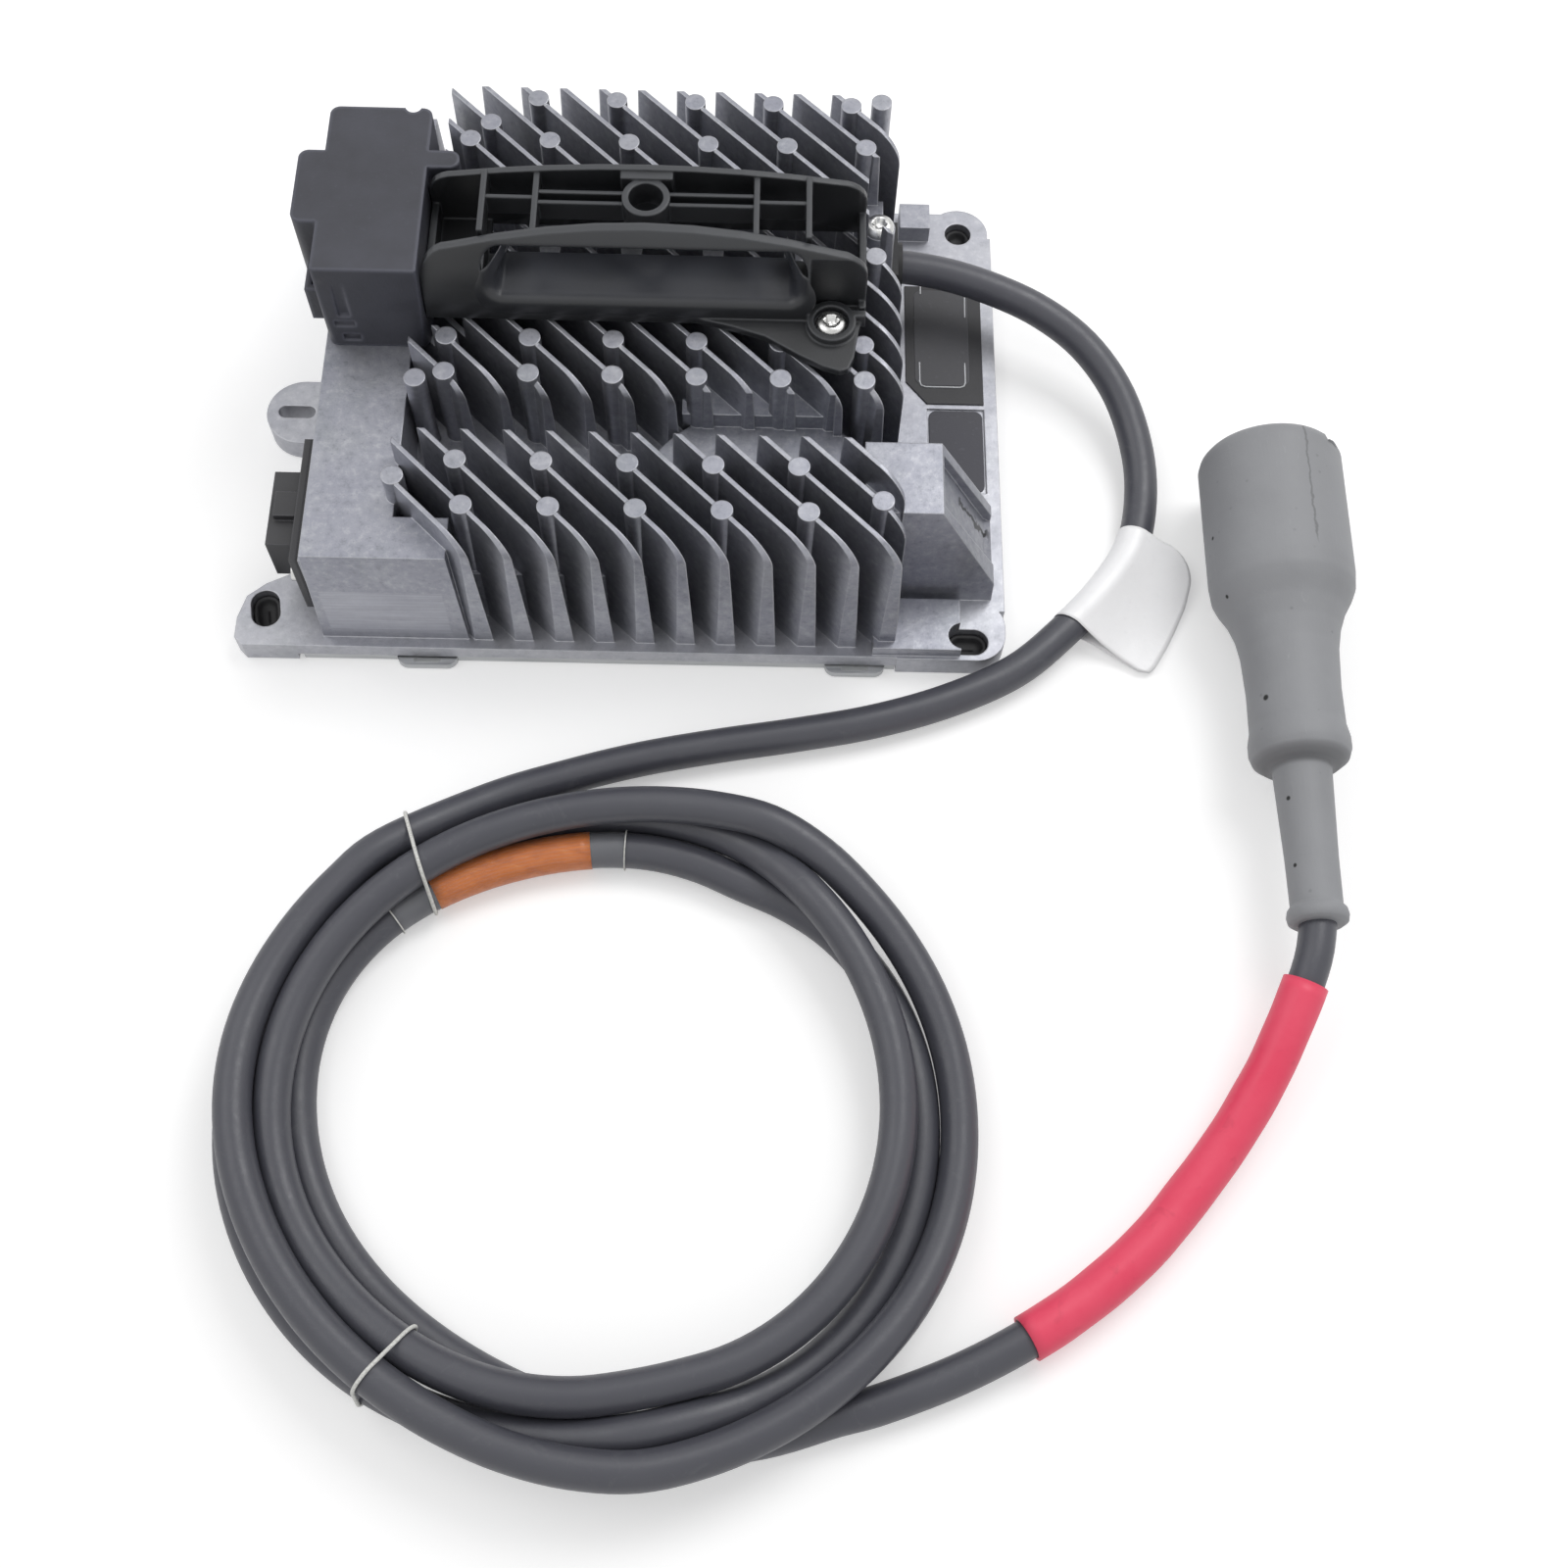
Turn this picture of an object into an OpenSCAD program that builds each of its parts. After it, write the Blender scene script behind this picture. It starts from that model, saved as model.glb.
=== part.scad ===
// On-board battery charger for a golf cart: a finned cast housing on a base plate, with a
// carrying handle, a mains cover, a signal connector and a coiled output cable with its plug.
// Millimetres. The origin is the middle of the underside, +X to the right, +Y to the back.

/* [Base] */
// Width over the mounting feet
body_w = 280; // [270:1:300]
// Depth of the casting
body_d = 204; // [198:1:220]
// Height of the casting's rim and feet
rim_h = 10; // [8:0.5:12]
// Thickness of the base plate
plate_t = 3; // [2:0.25:4]
// Thickness of the seal over the base plate
seal_t = 0.8; // [0.5:0.1:1.2]
// Diameter of the hole and width of the slots in the feet
foot_hole_d = 10.5; // [8:0.5:12]
// Wall of the casting
wall = 4; // [3:0.25:5]
// Thread diameter of the base plate's screws
base_screw_d = 4; // [3:0.5:5]

/* [Fins] */
// Height of the fin tips above the floor
fin_top = 75; // [70:1:84]
// Height of the floor between the fins
fin_floor = 38; // [34:1:42]
// Spacing of the fins along the front edge
fin_pitch = 14.6; // [13.5:0.1:16]
// Thickness of a fin at its tip
fin_tip = 1.6; // [1.2:0.1:2.4]
// Thickness of a fin at its foot
fin_root = 5; // [3.5:0.25:6]
// Radius of a fin's top corners
fin_round = 9; // [4:0.5:12]
// Diameter of the round posts among the fins
post_d = 7.6; // [6:0.2:9]

/* [Left block] */
// Height of the flat block along the left side
block_h = 63; // [56:1:68]
// Width of the block's flat top
block_w = 30; // [26:1:34]

/* [Handle] */
// Gap between the mains cover and the handle
handle_clear = 0.5; // [0.5:0.25:6]
// Height of the handle's arch above the floor
handle_top = 110; // [106:1:116]
// Fall of the arch from its middle to its ends
handle_fall = 6; // [3:0.5:9]
// Gap between the two walls of the handle at the top
handle_gap = 20; // [16:1:24]
// Wall of the handle moulding
handle_wall = 2.4; // [2:0.2:3.2]
// Solid end of the handle at each side of the finger slot
grip_end = 20.75; // [18:0.25:28]
// Height of the finger slot
grip_h = 16; // [12:1:18]

/* [Mains cover] */
// Height of the mains cover
cover_h = 38; // [32:1:44]
// Depth of the mains cover
cover_d = 72; // [66:1:82]
// Wall of the mains cover
cover_wall = 2.2; // [1.6:0.2:3]

/* [Output cable] */
// Diameter of the output cable
cable_d = 12.5; // [12:0.1:12.8]
// Diameter of the plug's barrel
plug_d = 52; // [48:1:58]
// Length of the plug from its mouth to its end bead
plug_l = 184; // [176:1:192]
// Diameter of the round opening in the plug's mouth
plug_bore = 43; // [38:1:44]
// Depth of the plug's mouth, to the face that carries its contacts
plug_mouth = 38; // [30:1:46]

/* [Hidden] */
$fn = 48;

half_w = body_w / 2;
half_d = body_d / 2;
fit = 0.3;
draft = 0.03;
shortest_fin = 19;

// Main lines of the casting, from the edges of its base
rim_x0 = -half_w + 22;
block_x0 = -half_w + 34;
block_x1 = block_x0 + block_w;
fin_x1 = half_w - 41;
fin_y0 = -half_d + 4;
fin_y1 = half_d;
core_x1 = fin_x1 - 8;
core_y0 = fin_y0 + 10;
core_y1 = fin_y1 - 11;
seat_z = plate_t + seal_t;

// Trough between the front fins and the rest, and the notch for the cable
trough_y0 = fin_y0 + 47;
trough_y1 = trough_y0 + 17;
notch_y0 = 40;
notch_y1 = 72;
notch_x = fin_x1 - 12;

// Raised shelf below some of the middle fins, and the wide disc in front of it
shelf = [half_w - 119, half_w - 65];
shelf_z = fin_floor + 19;
disc_x = half_w - 90;
disc_y = trough_y0 - 18;
disc_r = 46;
disc_z = fin_floor + 12;

// The fins behind the handle stand a little further on than those in front of it
split_y = trough_y0 + 89;

// The fins stand where x + y is this value plus a whole number of spacings
fin_c0 = block_x1 + fin_y0 + 41;

// Rows of posts: place along Y, and whether they stand on the even or the odd fins
front_rows = [[fin_y0 + 16, 0], [fin_y0 + 34, 1]];
middle_rows = [[trough_y1 + 6, 1], [trough_y1 + 21, 0], [trough_y1 + 60, 1]];
rear_rows = [[fin_y1 - 26, 0], [fin_y1 - 6, 1]];
lone_posts = [
    [block_x1 + 1, fin_y0 + 27], [fin_x1 - 8, fin_y0 + 21], [block_x1 + 5, trough_y1 + 3],
    [block_x1 + 23, fin_y1 - 18], [fin_x1 - 7, fin_y1 - 4]
];

// Feet: middle of each hole and how far its slot runs
hole_fl = [-half_w + 10, -half_d + 15];
hole_fr = [half_w - 14, -half_d + 7];
hole_br = [half_w - 13, half_d - 10];
hole_ear = [-half_w + 11.5, -1];
slot_run = 4.5;
ear_slot = [14, 5.5];

// Mains cover stands on the block, its left half over the block's edge
cover_z = block_h + cover_h;
cover_y0 = -6.5;
cover_lean = 2.5;
cover_corner = 3.5;
cover_lip = [7, 16];
cover_x0 = block_x0 + 1;
cover_x1 = block_x1 + 7;
cover_y1 = cover_y0 + cover_d;

// Socket under the cover: its place from the cover's front left corner, and its size
inlet_at = [5, 26.5];
inlet_size = [25, 24, 28];
inlet_wall = 3;

// Handle: ends, foot, the middle of the bowed front wall's arc, and the rear wall
handle_x0 = cover_x1 + handle_clear;
handle_x1 = fin_x1 - 14;
handle_l = handle_x1 - handle_x0;
grip_l = handle_l - 2 * grip_end;
handle_xc = (handle_x0 + handle_x1) / 2;
handle_z0 = fin_top + 1;
front_wall_y = -6;
rear_wall_y = front_wall_y + 18 + handle_gap;
front_arc_r = 48.6;
front_arc = [front_wall_y + front_arc_r, handle_z0 + 2];
handle_corner = 10;
niche_w = 20;
niche_y = 1;
rib_z0 = handle_top - 12;
rib_z1 = handle_top - 3;
tray_z = handle_z0 + 9;

// Ribs between the walls of the handle, from its middle: the inner and the outer pair
rib_in = 0.2475 * handle_l;
rib_out = 0.365 * handle_l;

// Inside of the casting
board_z = rim_h - 1;
board_t = 1.6;
board_top = board_z + board_t;
roof_z = fin_floor - wall;
room_x0 = block_x0 + wall;
room_x1 = core_x1 - wall;
room_y0 = core_y0 + wall;
room_y1 = core_y1 - wall;

// Output cable and its gland
gland_y = 57;
gland_z = 32;
gland_x0 = fin_x1 - 5;
gland_x1 = fin_x1 + 3;
coil_a = 125;
coil_b = 117.5;
coil_mid = [-1, -272];
coil_band = 34;
coil_edge = 5;
tie_w = 2;
tie_t = 1.2;
tie_gap = 0.2;
coil_h = 2.5 * cable_d;

// The coil's four arcs have their middles this far from the middle of the oval
coil_shift = (coil_a - coil_b) / (2 - sqrt(2));

// Plug lies on its barrel, mouth to the back
plug_x = 238.5;
plug_y0 = -208;
plug_z = plug_d / 2;
mouth_step = 20;
insert_t = 12;
contact_r = 10;
contact_d = 6;
contact_l = 18;

lead_route = [
    [room_x1 - 7, gland_y, gland_z], [gland_x1 - 2, gland_y, gland_z], [118, 54.5, 31.5],
    [137, 49, 30], [156, 41, 27], [173, 29.5, 22], [186, 12.5, 16], [193, -9, 10.5],
    [194, -30, 7], [189, -52, 6.9], [177, -71, 6.9], [162, -88, 6.9], [143.5, -104.5, 6.3],
    [119, -117, 6.3], [92, -126, 6.3], [64, -132, 6.3], [36, -137, 6.3], [8, -143, 6.3],
    [-18, -151, 7], [-43, -161, 9], [-62, -172, 11], [-75, -186, 12.5],
];
tail_route = [
    [36, -371, 6.3], [64, -367, 6.3], [92, -361, 6.3], [116, -352, 7], [138, -341, 7.8],
    [158, -328, 7.8], [177, -312, 7.8], [193, -294, 8.6], [207, -276, 11], [219, -257, 15.5],
    [228, -238, 21], [235, -222, 24.4], [plug_x - 0.3, plug_y0 - 8, plug_z - 0.3],
    [plug_x, plug_y0 - 3, plug_z], [plug_x, plug_y0, plug_z],
];
sleeve_span = [4, 10];
sleeve_d = cable_d + 3;
label_span = [9, 11];
label_wrap_d = cable_d + 1.2;

trafo = [0, -14, board_top];

// Signal connector on the casting's left side
signal_y0 = fin_y0 + 9;
signal_y1 = signal_y0 + 46;
signal_z = 35;
signal_screw_ys = [signal_y0 + 3, signal_y1 - 3];
signal_out = 13;
signal_boss = 3;
signal_seal_t = 1.2;
signal_x = block_x0 - signal_boss - signal_seal_t;

function unit(v) = v / norm(v);

// Direction of a route at one of its points
function heading(p, i) = unit(p[min(i + 1, len(p) - 1)] - p[max(i - 1, 0)]);

// Ring of points round a route at one of its points
function ring(p, i, d, sides) =
    let (t = heading(p, i), side = unit(cross([0, 0, 1], t)), up = cross(t, side))
    [for (k = [0 : sides - 1]) p[i] + d / 2 * (cos(360 * k / sides) * side + sin(360 * k / sides) * up)];

// Solid tube along a route, from one of its points to another
module tube(p, d, span, sides = 12) {
    points = [for (i = [span[0] : span[1]]) each ring(p, i, d, sides)];
    n = span[1] - span[0] + 1;
    walls = [
        for (i = [0 : n - 2], k = [0 : sides - 1])
            let (a = i * sides + k, b = i * sides + (k + 1) % sides)
                each [[a, a + sides, b + sides], [a, b + sides, b]]
    ];
    start = [for (k = [0 : sides - 1]) k];
    end = [for (k = [sides - 1 : -1 : 0]) (n - 1) * sides + k];
    polyhedron(points, concat([start], walls, [end]));
}

// Plain block between two corners
module block(a, b) translate(a) cube(b - a);

// Block whose four sides lean in towards its top
module drafted_block(x0, x1, y0, y1, z0, z1, lean = draft) {
    s = (z1 - z0) * lean;
    intersection() {
        translate([0, y1, 0]) rotate([90, 0, 0]) linear_extrude(y1 - y0)
            polygon([[x0, z0], [x1, z0], [x1 - s, z1], [x0 + s, z1]]);
        translate([x0, 0, 0]) rotate([90, 0, 90]) linear_extrude(x1 - x0)
            polygon([[y0, z0], [y1, z0], [y1 - s, z1], [y0 + s, z1]]);
    }
}

// Flat rectangle whose upper corners have a radius each
module round_top(a0, a1, z0, z1, r0, r1) {
    low = z1 - max(r0, r1);
    translate([a0, z0]) square([a1 - a0, low - z0]);
    translate([a0 + r0, z0]) square([a1 - a0 - r0 - r1, z1 - z0]);
    translate([a0, z0]) square([r0, z1 - r0 - z0]);
    translate([a1 - r1, z0]) square([r1, z1 - r1 - z0]);
    translate([a0 + r0, z1 - r0]) circle(r0);
    translate([a1 - r1, z1 - r1]) circle(r1);
}

// Flat rectangle with four round corners
module round_rect(w, h, r) {
    square([w - 2 * r, h], center = true);
    square([w, h - 2 * r], center = true);
    for (x = [-1, 1], y = [-1, 1]) translate([x * (w / 2 - r), y * (h / 2 - r)]) circle(r);
}

// Flat slot along X
module slot(length, width) {
    square([length - width, width], center = true);
    for (s = [-1, 1]) translate([s * (length - width) / 2, 0]) circle(d = width);
}

// Things drawn in the plane of X and Z, with their thickness from y0 to y1
module along_y(y0, y1) translate([0, y1, 0]) rotate([90, 0, 0]) linear_extrude(y1 - y0) children();

// Things drawn in the plane of Y and Z, with their thickness from x0 to x1
module along_x(x0, x1) translate([x0, 0, 0]) rotate([90, 0, 90]) linear_extrude(x1 - x0) children();

// Screw with its head at the top, or turned by its caller
module screw(d, length, head_d, head_h) {
    translate([0, 0, -length]) cylinder(h = length, d = d);
    difference() {
        cylinder(h = head_h, d = head_d);
        translate([0, 0, head_h - head_h / 2]) cylinder(h = head_h, d = head_d * 0.45, $fn = 6);
    }
}

// Upright plate that thickens towards its foot, on the diagonal where x + y = c
module fin(c) rotate([0, 0, -45]) translate([0, c / sqrt(2), 0]) along_x(-half_w, half_w) polygon([
    [-fin_root / 2, seat_z], [fin_root / 2, seat_z], [fin_tip / 2, fin_top], [-fin_tip / 2, fin_top]
]);

// Group of diagonal fins with rounded ends at the front and the right, and the posts on every second one
module fin_group(x0, x1, y0, y1, c0, rows, front_round = fin_round) {
    first = ceil((x0 + y0 + shortest_fin - c0) / fin_pitch);
    last = floor((x1 + y1 - shortest_fin - c0) / fin_pitch);
    intersection() {
        union() for (k = [first : last]) fin(c0 + k * fin_pitch);
        along_y(y0, y1) round_top(x0, x1, seat_z, fin_top, 1, fin_round);
        along_x(x0, x1) round_top(y0, y1, seat_z, fin_top, front_round, 1);
    }
    for (row = rows, k = [first : last])
        let (x = c0 + k * fin_pitch - row[0])
            if ((k + row[1]) % 2 == 0 && x > x0 + post_d && x < x1 - fin_round) post([x, row[0]]);
}

// Round post that the casting is pushed out of its mould by
module post(p) translate([p[0], p[1], seat_z]) cylinder(h = fin_top + 0.4 - seat_z, d = post_d);

// Outline of the rim, without the feet
module rim_plan() {
    translate([rim_x0, -half_d]) square([half_w - rim_x0 - 12, body_d]);
    translate([half_w - 13, -half_d + 20]) square([13, body_d - 32]);
}

// Outlines of the three feet and of the ear at the left
module feet_plan() {
    translate(hole_br) circle(12);
    translate([half_w - 24, half_d - 22]) square([12, 22]);
    translate([half_w - 20, -half_d + 12]) round_rect(40, 25, 11);
    translate([half_w - 40, -half_d - 0.5]) square([20, 25]);
    translate([-half_w, -half_d]) polygon([
        [22, 32], [9, 25.5], [2.5, 20], [0, 11], [0, 3], [3, 0], [22, 0]
    ]);
    translate([-half_w + 14, hole_ear[1]]) circle(14);
    translate([-half_w + 14, hole_ear[1] - 14]) square([10, 28]);
}

// Holes and slots through the feet
module feet_cuts() {
    translate(hole_br) circle(d = foot_hole_d);
    translate(hole_fr) slot(foot_hole_d + slot_run, foot_hole_d);
    translate(hole_fl) rotate(100) slot(foot_hole_d + slot_run, foot_hole_d);
    translate(hole_ear) slot(ear_slot[0], ear_slot[1]);
}

// Places of the screws that hold the base plate
function base_screw_places() = concat(
    [for (x = [-75, -30, 15, 60], y = [-half_d + 7, half_d - 6]) [x, y]],
    [for (y = [-55, 35]) [rim_x0 + 5, y]],
    [for (y = [-30, 35]) [fin_x1 + 4, y]]
);

// Places of the posts that carry the circuit board, with the height of the roof over each
function board_places() = [
    for (x = [room_x0 + 10, -30, room_x1 - 8], y = [room_y0 + 18, room_y1 - 8])
        [x, y, x < block_x1 ? block_h - wall : roof_z]
];

// Places of the screws that hold the handle: in its right foot and inside its left end
function handle_places() = [[handle_x1 - 12, front_wall_y - 2], [handle_x0 + 12, front_wall_y + 26]];

earth_place = [fin_x1 - 7, trough_y1 + 90, fin_top - 20];

module heatsink_housing() color("silver") difference() {
    union() {
        translate([0, 0, seat_z]) linear_extrude(rim_h - seat_z) rim_plan();
        linear_extrude(rim_h) feet_plan();
        drafted_block(block_x0 - 2, block_x1 + 2, fin_y0, fin_y1 - 4, seat_z, block_h);
        drafted_block(block_x1 - 6, block_x1 + 21, fin_y0, core_y0 + 10, seat_z, block_h);
        drafted_block(block_x0 + 20, core_x1 + 1, core_y0, core_y1, seat_z, fin_floor);
        fin_group(block_x1 - 1, fin_x1, fin_y0, trough_y0, fin_c0, front_rows);
        difference() {
            union() {
                fin_group(block_x1 + 1, fin_x1, trough_y1, split_y + 1, fin_c0, middle_rows);
                fin_group(cover_x1, fin_x1, split_y, fin_y1, fin_c0 + 3, rear_rows, 1);
            }
            block([notch_x, notch_y0, rim_h], [fin_x1 + 1, notch_y1, fin_top + 1]);
            block([shelf[0], trough_y1 - 1, disc_z], [shelf[1], trough_y1 + 2, fin_top + 1]);
            block([block_x1, cover_y0 - 2, block_h], [cover_x1 + 12, cover_y1 + 2, fin_top + 1]);
        }
        for (p = lone_posts) post(p);
        for (p = handle_places()) translate([p[0], p[1], seat_z]) cylinder(h = handle_z0 - seat_z, d = 11);
        translate([earth_place[0], earth_place[1], seat_z]) cylinder(h = earth_place[2] - seat_z, d = 12);
        block([shelf[0], trough_y1 + 3, seat_z], [shelf[1], trough_y1 + 20, shelf_z]);
        intersection() {
            translate([disc_x, disc_y, seat_z]) cylinder(h = disc_z - seat_z, r = disc_r, $fn = 96);
            block([shelf[0] - 9, trough_y0 - 3, seat_z], [shelf[1] + 9, trough_y1 + 20, disc_z]);
        }
        ramp_box();
        block([core_x1, -half_d + 1, seat_z], [half_w - 17, -half_d + 22, rim_h + 5]);
        block([fin_x1 + 4, half_d - 14, seat_z], [fin_x1 + 16, half_d - 2, rim_h + 8]);
        block(
            [block_x0 - signal_boss, signal_y0 - 3, signal_z - 18],
            [block_x0 + 3, signal_y1 + 3, signal_z + 18]
        );
        block([room_x1 - 15, gland_y - 17, seat_z], [gland_x0, gland_y + 17, gland_z + 17]);
    }
    housing_room();
    housing_holes();
}

// Box at the right front whose top runs down to the rim between two ridges
module ramp_box() {
    x1 = fin_x1 + 14;
    x2 = half_w - 5;
    y0 = trough_y0 - 21;
    y1 = trough_y0 + 8;
    top = fin_floor + 22;
    low = rim_h + 10;
    difference() {
        intersection() {
            along_y(y0 - 6, y1) polygon([
                [core_x1 - 5, seat_z], [x2, seat_z], [x2, low], [x1, top], [core_x1 - 5, top]
            ]);
            along_x(core_x1 - 5, x2) polygon([[y0 - 6, seat_z], [y1, seat_z], [y1, top], [y0, top]]);
        }
        along_y(y0 + 4, y1 - 4) polygon([
            [x1 + 1, top + 1], [x2 + 1, top + 1], [x2 + 1, low - 5], [x2 - 3, low - 2], [x1, top - 6]
        ]);
    }
}

// Hollow of the casting, with the posts that carry the circuit board
module housing_room() difference() {
    union() {
        block([block_x0 + 10, room_y0, -1], [room_x1, room_y1, roof_z]);
        block([room_x0, fin_y0 + wall + 2, -1], [block_x1 - wall, fin_y1 - 6 - wall, block_h - wall]);
        block([room_x1 - 11, gland_y - 13.5, roof_z - 1], [room_x1, gland_y + 13.5, gland_z + 13.5]);
    }
    for (p = board_places()) translate([p[0], p[1], board_top]) cylinder(h = p[2] + 1 - board_top, d = 8);
}

// Screw holes, feet and passages through the casting
module housing_holes() {
    translate([0, 0, -1]) linear_extrude(rim_h + 20) feet_cuts();
    for (p = base_screw_places()) translate([p[0], p[1], -1]) cylinder(h = rim_h, d = base_screw_d + 0.2);
    for (p = board_places()) translate([p[0], p[1], board_z]) cylinder(h = 8, d = 3.2);
    for (p = handle_places()) translate([p[0], p[1], handle_z0 - 16]) cylinder(h = 20, d = 5.2);
    translate(earth_place - [0, 0, 12]) cylinder(h = 20, d = 5.2);
    along_x(room_x1 - 8, gland_x0 + 8) translate([gland_y, gland_z]) circle(d = 18.4);
    block([gland_x0, gland_y - 13, gland_z - 11], [gland_x0 + 8, gland_y + 13, gland_z + 11]);
    block([block_x0 - 4, signal_y0 + 8, signal_z - 8.5], [room_x0 + 1, signal_y1 - 8, signal_z + 8.5]);
    for (y = signal_screw_ys) along_x(block_x0 - 4, block_x0 + 4) translate([y, signal_z]) circle(d = 3.2);
    block([half_w - 27, -31, rim_h - 1], [half_w - 5, 7, rim_h + 1]);
}

// Outline of the base plate
module plate_plan() {
    translate([rim_x0 + 2, -half_d + 0.5]) square([fin_x1 + 10 - rim_x0 - 2, body_d - 1]);
}

module base_plate() color("lightgray") difference() {
    union() {
        linear_extrude(plate_t) difference() {
            plate_plan();
            feet_plan_grown();
        }
        for (x = [-71, fin_x1 - 14]) translate([x, -half_d + 1, 0]) linear_extrude(plate_t) slot(22, 8);
    }
    for (p = base_screw_places()) translate([p[0], p[1], -1]) {
        cylinder(h = plate_t + 2, d = base_screw_d + 0.4);
        cylinder(h = plate_t / 2 + 1, d = 2 * base_screw_d + 0.4);
    }
    for (x = [-71, fin_x1 - 14]) translate([x, -half_d - 1.2, -1]) linear_extrude(plate_t + 2) slot(10, 1.6);
}

// Outlines of the feet with a small gap round them
module feet_plan_grown() {
    translate(hole_br) circle(12 + fit);
    translate([half_w - 24 - fit, half_d - 22 - fit]) square([30, 40]);
    translate([half_w - 40 - fit, -half_d - 1]) square([41, 26 + fit]);
    translate([-half_w, -half_d - 1]) square([22 + fit, 33 + fit]);
    translate([-half_w + 14, hole_ear[1] - 14 - fit]) square([14 + fit, 28 + 2 * fit]);
}

module base_seal() color("dimgray") translate([0, 0, plate_t]) linear_extrude(seal_t) difference() {
    intersection() {
        plate_plan();
        translate([rim_x0 + 2.5, -half_d + 1]) square([fin_x1 + 9 - rim_x0 - 2, body_d - 2]);
    }
    feet_plan_grown();
    translate([room_x0, room_y0]) square([room_x1 - room_x0, room_y1 - room_y0]);
    for (p = base_screw_places()) translate([p[0], p[1]]) circle(d = base_screw_d + 0.4);
}

module base_screws() color("gray") for (p = base_screw_places())
    translate([p[0], p[1], plate_t / 2]) rotate([180, 0, 0])
        screw(base_screw_d, rim_h - 1 - plate_t / 2, 2 * base_screw_d, plate_t / 2 - 0.2);

// Face of a handle wall seen from the front: an arched top that rounds down to upright ends
module handle_face(top) {
    half = handle_l / 2 - handle_corner;
    low = top - handle_fall - handle_corner;
    arch_r = (half * half + handle_fall * handle_fall) / (2 * handle_fall);
    arch = [for (i = [-4 : 4]) let (x = half * i / 4) [x, top - arch_r + sqrt(arch_r * arch_r - x * x)]];
    end = concat(
        [for (a = [75 : -15 : 0]) [half + handle_corner * cos(a), low + handle_corner * sin(a)]],
        [[handle_l / 2, handle_z0]]
    );
    other = [for (i = [len(end) - 1 : -1 : 0]) [-end[i][0], end[i][1]]];
    translate([handle_xc, 0]) polygon(concat(arch, end, other));
}

// Band of the bowed front wall, seen from the right
module front_band() intersection() {
    difference() {
        translate(front_arc) circle(front_arc_r, $fn = 180);
        translate(front_arc) circle(front_arc_r - handle_wall, $fn = 180);
    }
    translate([front_wall_y - 1, handle_z0]) square([front_arc_r, handle_top]);
}

module handle() color("dimgray") difference() {
    union() {
        intersection() {
            union() {
                along_x(handle_x0, handle_x1) front_band();
                niche_walls();
            }
            along_y(front_wall_y - 1, rear_wall_y) handle_face(handle_top);
        }
        intersection() {
            along_x(handle_x0, handle_x1) polygon([
                [rear_wall_y + 4, handle_z0], [rear_wall_y + 4 + handle_wall, handle_z0],
                [rear_wall_y + handle_wall, handle_top], [rear_wall_y, handle_top]
            ]);
            along_y(rear_wall_y - 1, rear_wall_y + 10) handle_face(handle_top);
        }
        handle_ribs();
        handle_feet();
        handle_tray();
    }
    along_y(front_wall_y - 2, front_wall_y + 14) translate([handle_xc, tray_z + grip_h / 2 + 2])
        round_rect(grip_l, grip_h + 4, 7);
    block([handle_x1 - niche_w, front_wall_y - 20, handle_z0 + 6], [handle_x1 + 1, niche_y, handle_z0 + 30]);
    for (p = handle_places()) translate([p[0], p[1], handle_z0 - 1]) cylinder(h = 8, d = 5.4);
    translate([handle_places()[0][0], handle_places()[0][1], handle_z0 + 3]) cylinder(h = 30, d = 12.5);
    translate([handle_xc, rear_wall_y - 10, rib_z0 - 1]) cylinder(h = 30, d = 12);
}

// Walls of the niche over the right foot, inside the bowed front wall
module niche_walls() let (x = handle_x1 - niche_w) intersection() {
    union() {
        block([x - handle_wall, niche_y, handle_z0], [handle_x1, niche_y + handle_wall, rib_z1]);
        block([x - handle_wall, front_wall_y, handle_z0], [x, niche_y + 1, rib_z1]);
    }
    along_x(handle_x0, handle_x1) translate(front_arc) circle(front_arc_r - 0.4, $fn = 180);
}

// Ribs and the ring that join the two walls of the handle near its top
module handle_ribs() {
    y0 = front_wall_y + 13;
    intersection() {
        union() {
            for (x = [-rib_out, -rib_in, rib_in, rib_out]) block(
                [handle_xc + x - 1, y0, rib_z0], [handle_xc + x + 1, rear_wall_y + 4, rib_z1]
            );
            for (y = [-12, -7.5], s = [-1, 1]) block(
                [handle_xc + min(s * 6, s * rib_in), rear_wall_y + y, rib_z0],
                [handle_xc + max(s * 6, s * rib_in), rear_wall_y + y + 1.4, rib_z1 - 1]
            );
            for (s = [-1, 1]) block(
                [handle_xc + min(s * rib_in, s * rib_out), rear_wall_y - 10, rib_z0],
                [handle_xc + max(s * rib_in, s * rib_out), rear_wall_y - 8.6, rib_z1 - 1]
            );
            translate([handle_xc, rear_wall_y - 10, rib_z0]) cylinder(h = rib_z1 - rib_z0 + 1, d = 16.5);
            block([handle_xc - 9, rear_wall_y - 3, rib_z0], [handle_xc + 9, rear_wall_y + 3, rib_z1 + 2]);
        }
        along_x(handle_x0, handle_x1) handle_hollow();
    }
}

// Space between the outer faces of the two walls, seen from the right
module handle_hollow() polygon([
    [front_wall_y + 3, handle_z0], [rear_wall_y + 5, handle_z0],
    [rear_wall_y + 1, handle_top], [front_wall_y + 14, handle_top], [front_wall_y + 5.5, rib_z0 - 2]
]);

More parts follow.
